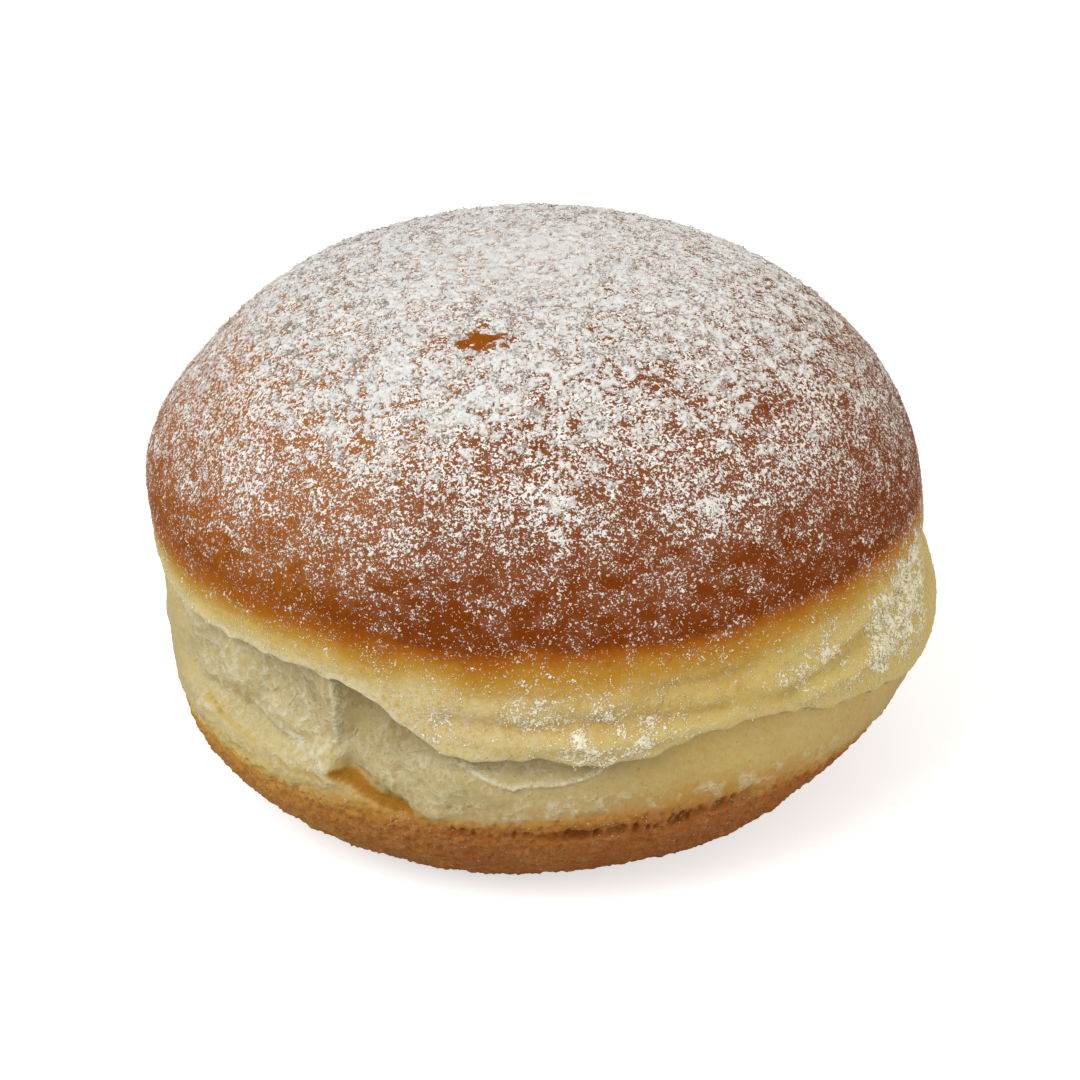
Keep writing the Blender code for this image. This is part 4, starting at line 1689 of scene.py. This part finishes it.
@dataclass
class GlutenStrands:
    """Strands of dough that bridge the slits at the rim and lie over the torn crumb."""

    dough: LowerDough
    seed: int = 11
    joints: int = 6
    sides: int = 4
    groups: tuple[StrandGroup, ...] = (
        StrandGroup((-14.0, 2.0), (0.0108, 0.0112), (0.0, 0.0012), (1.2, 0.0005), 34, 0.060, 0.10),
        StrandGroup((3.0, 27.0), (0.0112, 0.0117), (0.0, 0.0014), (1.1, 0.0005), 40, 0.062, 0.12),
        StrandGroup((26.0, 34.0), (0.0120, 0.0126), (0.0, 0.0013), (0.8, 0.0004), 8, 0.05, 0.10),
        StrandGroup((-31.0, -20.5), (0.0134, 0.0150), (0.6, 0.0024), (1.4, 0.0006), 16, 0.065, 0.20),
        StrandGroup((-32.5, -29.0), (0.0168, 0.0178), (5.0, 0.0020), (2.0, 0.0012), 60, 0.045, 0.06),
        StrandGroup((-31.0, -27.0), (0.0164, 0.0174), (3.0, 0.0018), (1.5, 0.0008), 40, 0.040, 0.06),
        StrandGroup((-40.0, -32.0), (0.0190, 0.0250), (0.8, -0.0008), (2.0, 0.0010), 40, 0.035, 0.06),
        StrandGroup((-18.0, 10.0), (0.0150, 0.0185), (0.2, -0.0010), (0.8, 0.0006), 90, 0.035, 0.04),
        StrandGroup((7.7, 8.1), (0.0170, 0.0173), (0.0, 0.0002), (2.4, 0.0011), 14, 0.05, 0.08),
        StrandGroup((150.0, 200.0), (0.0160, 0.0190), (0.6, 0.0010), (1.5, 0.0009), 50, 0.045, 0.08),
    )

    def build(self, material: Material) -> Piece:
        """Makes all the strands as one piece of thin tapered tubes.

        Args:
            material: The piece's finish.

        Returns:
            The finished piece.
        """
        draw = np.random.default_rng(self.seed)
        tubes = [self.tube(group, draw) for group in self.groups for _ in range(group.count)]
        starts = np.arange(len(tubes)) * len(tubes[0])
        triangles = (self.tube_faces()[None] + starts[:, None, None]).reshape(-1, 3)
        points = np.concatenate(tubes)
        return new_array_piece("gluten_strands", points, triangles, np.zeros(len(points)), material)

    def tube(self, group: StrandGroup, draw: np.random.Generator) -> Array:
        """The points of one strand.

        Args:
            group: The strands that it belongs to.
            draw: The random draw.

        Returns:
            One row of x, y and z for each point, ring by ring.
        """
        form = self.dough.form
        along = np.linspace(0.0, 1.0, self.joints)
        wiggle = draw.normal(0.0, 0.12, (2, self.joints)) * along
        run_round = group.run[0] + draw.normal() * group.spread[0]
        run_up = group.run[1] + draw.normal() * group.spread[1]
        bearing = draw.uniform(*group.bearings) + run_round * along + 0.5 * wiggle[0]
        height = draw.uniform(*group.heights) + run_up * along + 0.25 * MM * wiggle[1]
        ends = form.outer_radius(bearing, height) - raised(form.crumb_depth, form.crumb_hollows, bearing)
        surface = np.minimum(self.dough.radius(bearing, height) + 0.15 * MM, ends + 0.2 * MM)
        bridged = surface[0] + (surface[-1] - surface[0]) * along
        arch = group.arch * MM * np.sin(math.pi * along)
        radius = np.maximum(surface, bridged) + arch - 0.05 * MM
        spine = form.lumped(form.places(bearing, radius, height), np.zeros(self.joints))
        forward = unit(np.gradient(spine, axis=0))
        side = unit(np.cross(forward, form.outward(spine)))
        lift = np.cross(side, forward)
        taper = 0.35 + 0.65 * np.abs(np.cos(math.pi * along))
        thick = group.half_width * MM * draw.uniform(0.6, 1.4) * taper
        turns = np.arange(self.sides) * 2.0 * math.pi / self.sides
        rings = side[:, None] * np.cos(turns)[None, :, None] + lift[:, None] * np.sin(turns)[None, :, None]
        return (spine[:, None] + rings * thick[:, None, None]).reshape(-1, 3)

    def tube_faces(self) -> Array:
        """Works out the triangles of one strand, with its ends closed.

        Returns:
            Three point numbers for each triangle.
        """
        faces = []
        for joint in range(self.joints - 1):
            for side in range(self.sides):
                a = joint * self.sides + side
                b = joint * self.sides + (side + 1) % self.sides
                faces += [(a, b, b + self.sides), (a, b + self.sides, a + self.sides)]
        last = (self.joints - 1) * self.sides
        for side in range(1, self.sides - 1):
            faces += [(0, side + 1, side), (last, last + side, last + side + 1)]
        return np.array(faces)


class Sprinkling(Enum):
    """The kinds of icing sugar, from the finest to the coarsest."""

    MIST = ("sugar_mist", 49000, 0.060 * MM, 2, 0.35, 0.02, 3)
    DUST = ("sugar_dust", 44000, 0.064 * MM, 3, 0.7, 0.03, 3)
    SPECKS = ("sugar_specks", 42000, 0.078 * MM, 4, 1.1, 0.08, 3)
    GRAINS = ("sugar_grains", 20000, 0.096 * MM, 5, 1.6, 0.14, 4)
    CLUMPS = ("sugar_clumps", 2600, 0.15 * MM, 3, 3.0, 0.20, 4)

    def __init__(
        self, piece: str, count: int, half_width: float, chain: int, favour: float, piled: float, sides: int
    ) -> None:
        """Names what each value is.

        Args:
            piece: The piece's name.
            count: How many grains there are.
            half_width: Half the width of a grain.
            chain: How many grains lie in a chain.
            favour: How strongly the grains favour thick sugar.
            piled: How high they pile up, in millimetres.
            sides: The number of sides of their shape.
        """
        self.piece = piece
        self.count = count
        self.half_width = half_width
        self.chain = chain
        self.favour = favour
        self.piled = piled
        self.sides = sides

    def shape(self) -> tuple[Array, Array]:
        """Shapes one grain, before it's made uneven.

        Returns:
            Its points, and three point numbers for each triangle.
        """
        turns = np.arange(self.sides) * 2.0 * math.pi / self.sides
        points = [(math.cos(t), math.sin(t), 0.0) for t in turns] + [(0.0, 0.0, 0.9)]
        pairs = [(i, (i + 1) % self.sides) for i in range(self.sides)]
        faces = [(i, j, self.sides) for i, j in pairs]
        if self.sides == 3:
            faces.append((2, 1, 0))
        else:
            points.append((0.0, 0.0, -0.8))
            faces += [(j, i, self.sides + 1) for i, j in pairs]
        return np.array(points), np.array(faces)


@dataclass
class SugarGrains:
    """Grains of icing sugar strewn over the skin and the crown's layer, most where it is thick."""

    form: DoughForm
    skin: Piece
    crown: tuple[Piece, Piece]
    skin_top: float = 52.0 * MM
    skin_fade: float = 6.0 * MM
    seen_radius: float = 41.0 * MM
    seen_height: float = 36.0 * MM
    seed: int = 5
    chain_step: float = 1.7
    width_spread: float = 0.28
    tilt_spread: float = 0.4
    bedding: float = 0.25
    thin_share: float = 0.85
    thin_cover: float = 0.4

    def ground(self, piece: Piece) -> tuple[Array, Array]:
        """Reads a piece that sugar lies on.

        Args:
            piece: The piece, which stores the value "sugar" at its points.

        Returns:
            The three corners of every triangle, and the sugar's cover on each.
        """
        mesh = piece.data
        mesh.calc_loop_triangles()
        corners = np.empty(len(mesh.loop_triangles) * 3, np.int32)
        mesh.loop_triangles.foreach_get("vertices", corners)
        corners = corners.reshape(-1, 3)
        places = np.empty(len(mesh.vertices) * 3, np.float32)
        mesh.vertices.foreach_get("co", places)
        cover = np.empty(len(mesh.vertices), np.float32)
        mesh.attributes["sugar"].data.foreach_get("value", cover)
        return places.reshape(-1, 3).astype(float)[corners], cover[corners].mean(axis=1)

    def strewn(self, kind: Sprinkling, draw: np.random.Generator) -> tuple[Array, Array, Array]:
        """Picks places on the ground in short wandering chains, most where the sugar is thick.

        Args:
            kind: The kind of sugar.
            draw: The random draw.

        Returns:
            The places, the directions that face out there, and the sugar's cover there.
        """
        skin, skin_thick = self.ground(self.skin)
        middle = skin.mean(axis=1)
        seen = np.hypot(middle[:, 0], middle[:, 1]) > self.seen_radius
        seen = seen | (middle[:, 2] > self.seen_height)
        skin_thick = skin_thick * seen * smooth_step((self.skin_top - middle[:, 2]) / self.skin_fade)
        grounds = [(skin, skin_thick)] + [self.ground(half) for half in self.crown]
        corners, thick = (np.concatenate(parts) for parts in zip(*grounds))
        a, b, c = (corners[:, i] for i in range(3))
        cross = np.cross(b - a, c - a)
        area = np.linalg.norm(cross, axis=1)
        weight = area * thick**kind.favour
        chains = kind.count // kind.chain
        chosen = draw.choice(len(corners), size=chains, p=weight / weight.sum())
        u, v = draw.random((2, chains))
        flip = u + v > 1.0
        u, v = np.where(flip, 1.0 - u, u), np.where(flip, 1.0 - v, v)
        spot = a[chosen] + u[:, None] * (b - a)[chosen] + v[:, None] * (c - a)[chosen]
        out = unit(cross[chosen] / area[chosen, None] + 2.0 * self.form.outward(spot))
        side = unit(np.cross(out, draw.normal(size=(chains, 3))))
        ahead = np.cross(out, side)
        steps = draw.normal(0.0, kind.half_width * self.chain_step * 0.7, (2, kind.chain, chains))
        steps[0] += kind.half_width * self.chain_step
        steps[:, 0] = 0.0
        walk = np.cumsum(steps, axis=1)
        spots = spot + walk[0][..., None] * side + walk[1][..., None] * ahead
        return spots.reshape(-1, 3), np.tile(out, (kind.chain, 1)), np.tile(thick[chosen], kind.chain)

    def build(self, kind: Sprinkling, material: Material) -> Piece:
        """Makes one kind of sugar as joined grains.

        Args:
            kind: The kind of sugar.
            material: The piece's finish.

        Returns:
            The finished piece.
        """
        draw = np.random.default_rng(self.seed + kind.count + kind.sides)
        spots, out, cover = self.strewn(kind, draw)
        count = len(spots)
        points, faces = kind.shape()
        grain = points[None] * draw.uniform(0.7, 1.3, (count, len(points), 1))
        width = kind.half_width * np.exp(draw.normal(0.0, self.width_spread, count))
        long, wide = draw.uniform(0.9, 1.6, count), draw.uniform(0.7, 1.0, count)
        sizes = np.stack((long, wide, np.full(count, 0.7)), axis=1)
        grain = grain * (sizes * width[:, None])[:, None]
        side = unit(np.cross(out, draw.normal(size=(count, 3))))
        tilt = unit(out + self.tilt_spread * draw.normal(size=(count, 3)))
        across = unit(np.cross(tilt, side))
        axes = (np.cross(across, tilt), across, tilt)
        turned = sum(grain[:, :, i : i + 1] * axis[:, None] for i, axis in enumerate(axes))
        lift = width * self.bedding + kind.piled * MM * draw.random(count) * cover**2
        places = turned + (spots + out * lift[:, None])[:, None]
        triangles = faces[None] + (np.arange(count) * len(points))[:, None, None]
        thin = self.thin_share * smooth_step(1.0 - cover / self.thin_cover)
        thin = np.repeat(thin, len(points))
        return new_array_piece(kind.piece, places.reshape(-1, 3), triangles.reshape(-1, 3), thin, material)


@dataclass(frozen=True)
class Lamp:
    """A square soft light that faces the doughnut."""

    name: str
    place: Triple
    size: float
    power: float
    colour: Colour
    aim: Triple = (0.0, 0.0, 0.03)

    def build(self) -> None:
        """Makes the light."""
        data = bpy.data.lights.new(self.name, "AREA")
        data.size = self.size
        data.energy = self.power
        data.color = self.colour
        light = bpy.data.objects.new(self.name, data)
        light.location = self.place
        light.rotation_euler = (Vector(self.aim) - Vector(self.place)).to_track_quat("-Z", "Y").to_euler()
        bpy.context.scene.collection.objects.link(light)


@dataclass
class Studio:
    """The pale floor, the soft lights and the camera."""

    camera_elevation: float = 26.343
    camera_distance: float = 0.420
    target: Triple = (0.0, 0.000339, 0.025684)
    lens: float = 119.0
    floor_half: float = 3.0
    sky_colour: Colour = (1.0, 0.985, 0.96)
    sky_strength: float = 0.50
    lamps: tuple[Lamp, ...] = (
        Lamp("key_light", (-0.62, -0.58, 0.86), 0.8, 8.6, (0.98, 0.99, 1.0)),
        Lamp("fill_light", (1.0, -0.36, 0.32), 0.6, 3.4, (1.0, 0.95, 0.85)),
    )
    floor_seen: Colour = (0.80, 0.80, 0.80)
    floor_thrown: Colour = (0.62, 0.60, 0.57)
    floor_glow: float = 0.62

    def build(self) -> None:
        """Makes the floor, lights, camera and sky."""
        self.build_floor()
        self.build_camera()
        for lamp in self.lamps:
            lamp.build()
        sky = bpy.data.worlds.new("sky")
        sky.use_nodes = True
        background = sky.node_tree.nodes["Background"]
        background.inputs["Color"].default_value = (*self.sky_colour, 1.0)
        background.inputs["Strength"].default_value = self.sky_strength
        bpy.context.scene.world = sky
        bpy.context.scene.view_settings.view_transform = "Standard"

    def build_floor(self) -> None:
        """A floor that looks white and throws less light back than it seems to."""
        sheet = bmesh.new()
        bmesh.ops.create_grid(sheet, x_segments=1, y_segments=1, size=self.floor_half)
        material, wiring = new_material("floor")
        seen = {"Base Color": self.floor_seen, "Roughness": 0.9, "Specular IOR Level": 0.0}
        seen.update({"Emission Color": (1.0, 1.0, 1.0), "Emission Strength": self.floor_glow})
        thrown = {"Base Color": self.floor_thrown, "Roughness": 0.9}
        rays = wiring.add("ShaderNodeLightPath").outputs["Is Camera Ray"]
        inputs = {0: rays, 1: wiring.principled(thrown), 2: wiring.principled(seen)}
        wiring.surface(wiring.add("ShaderNodeMixShader", inputs).outputs["Shader"])
        new_piece("floor", sheet, [], material)

    def build_camera(self) -> None:
        """The camera at the photograph's angle."""
        data = bpy.data.cameras.new("camera")
        data.lens = self.lens
        data.sensor_width = 36.0
        data.clip_start = 0.01
        data.clip_end = 20.0
        camera = bpy.data.objects.new("camera", data)
        tilt = math.radians(self.camera_elevation)
        back = Vector((0.0, -math.cos(tilt), math.sin(tilt)))
        camera.location = Vector(self.target) + back * self.camera_distance
        camera.rotation_euler = (math.pi / 2.0 - tilt, 0.0, 0.0)
        bpy.context.scene.collection.objects.link(camera)
        bpy.context.scene.camera = camera


def main() -> None:
    """Builds the doughnut, its sugar and the studio."""
    logging.basicConfig(level=logging.INFO, format="%(message)s")
    form = DoughForm()
    effects = Effects()
    sugar = SugarCover()
    skin = UpperSkin(form, sugar).build(effects)
    attach(skin)
    layer = SUGAR_LAYER.made()
    crown = tuple(SugarCrown(form, sugar).build(side, layer) for side in (-1.0, 1.0))
    for half in crown:
        attach(half)
    lower = LowerDough(form)
    attach(lower.build_crumb(effects))
    attach(lower.build_crust(effects))
    attach(GlutenStrands(lower).build(GLUTEN.made()))
    powder = SUGAR.made()
    grains = SugarGrains(form, skin, crown)
    for kind in Sprinkling:
        attach(grains.build(kind, powder))
    Studio().build()


if __name__ == "__main__":
    main()
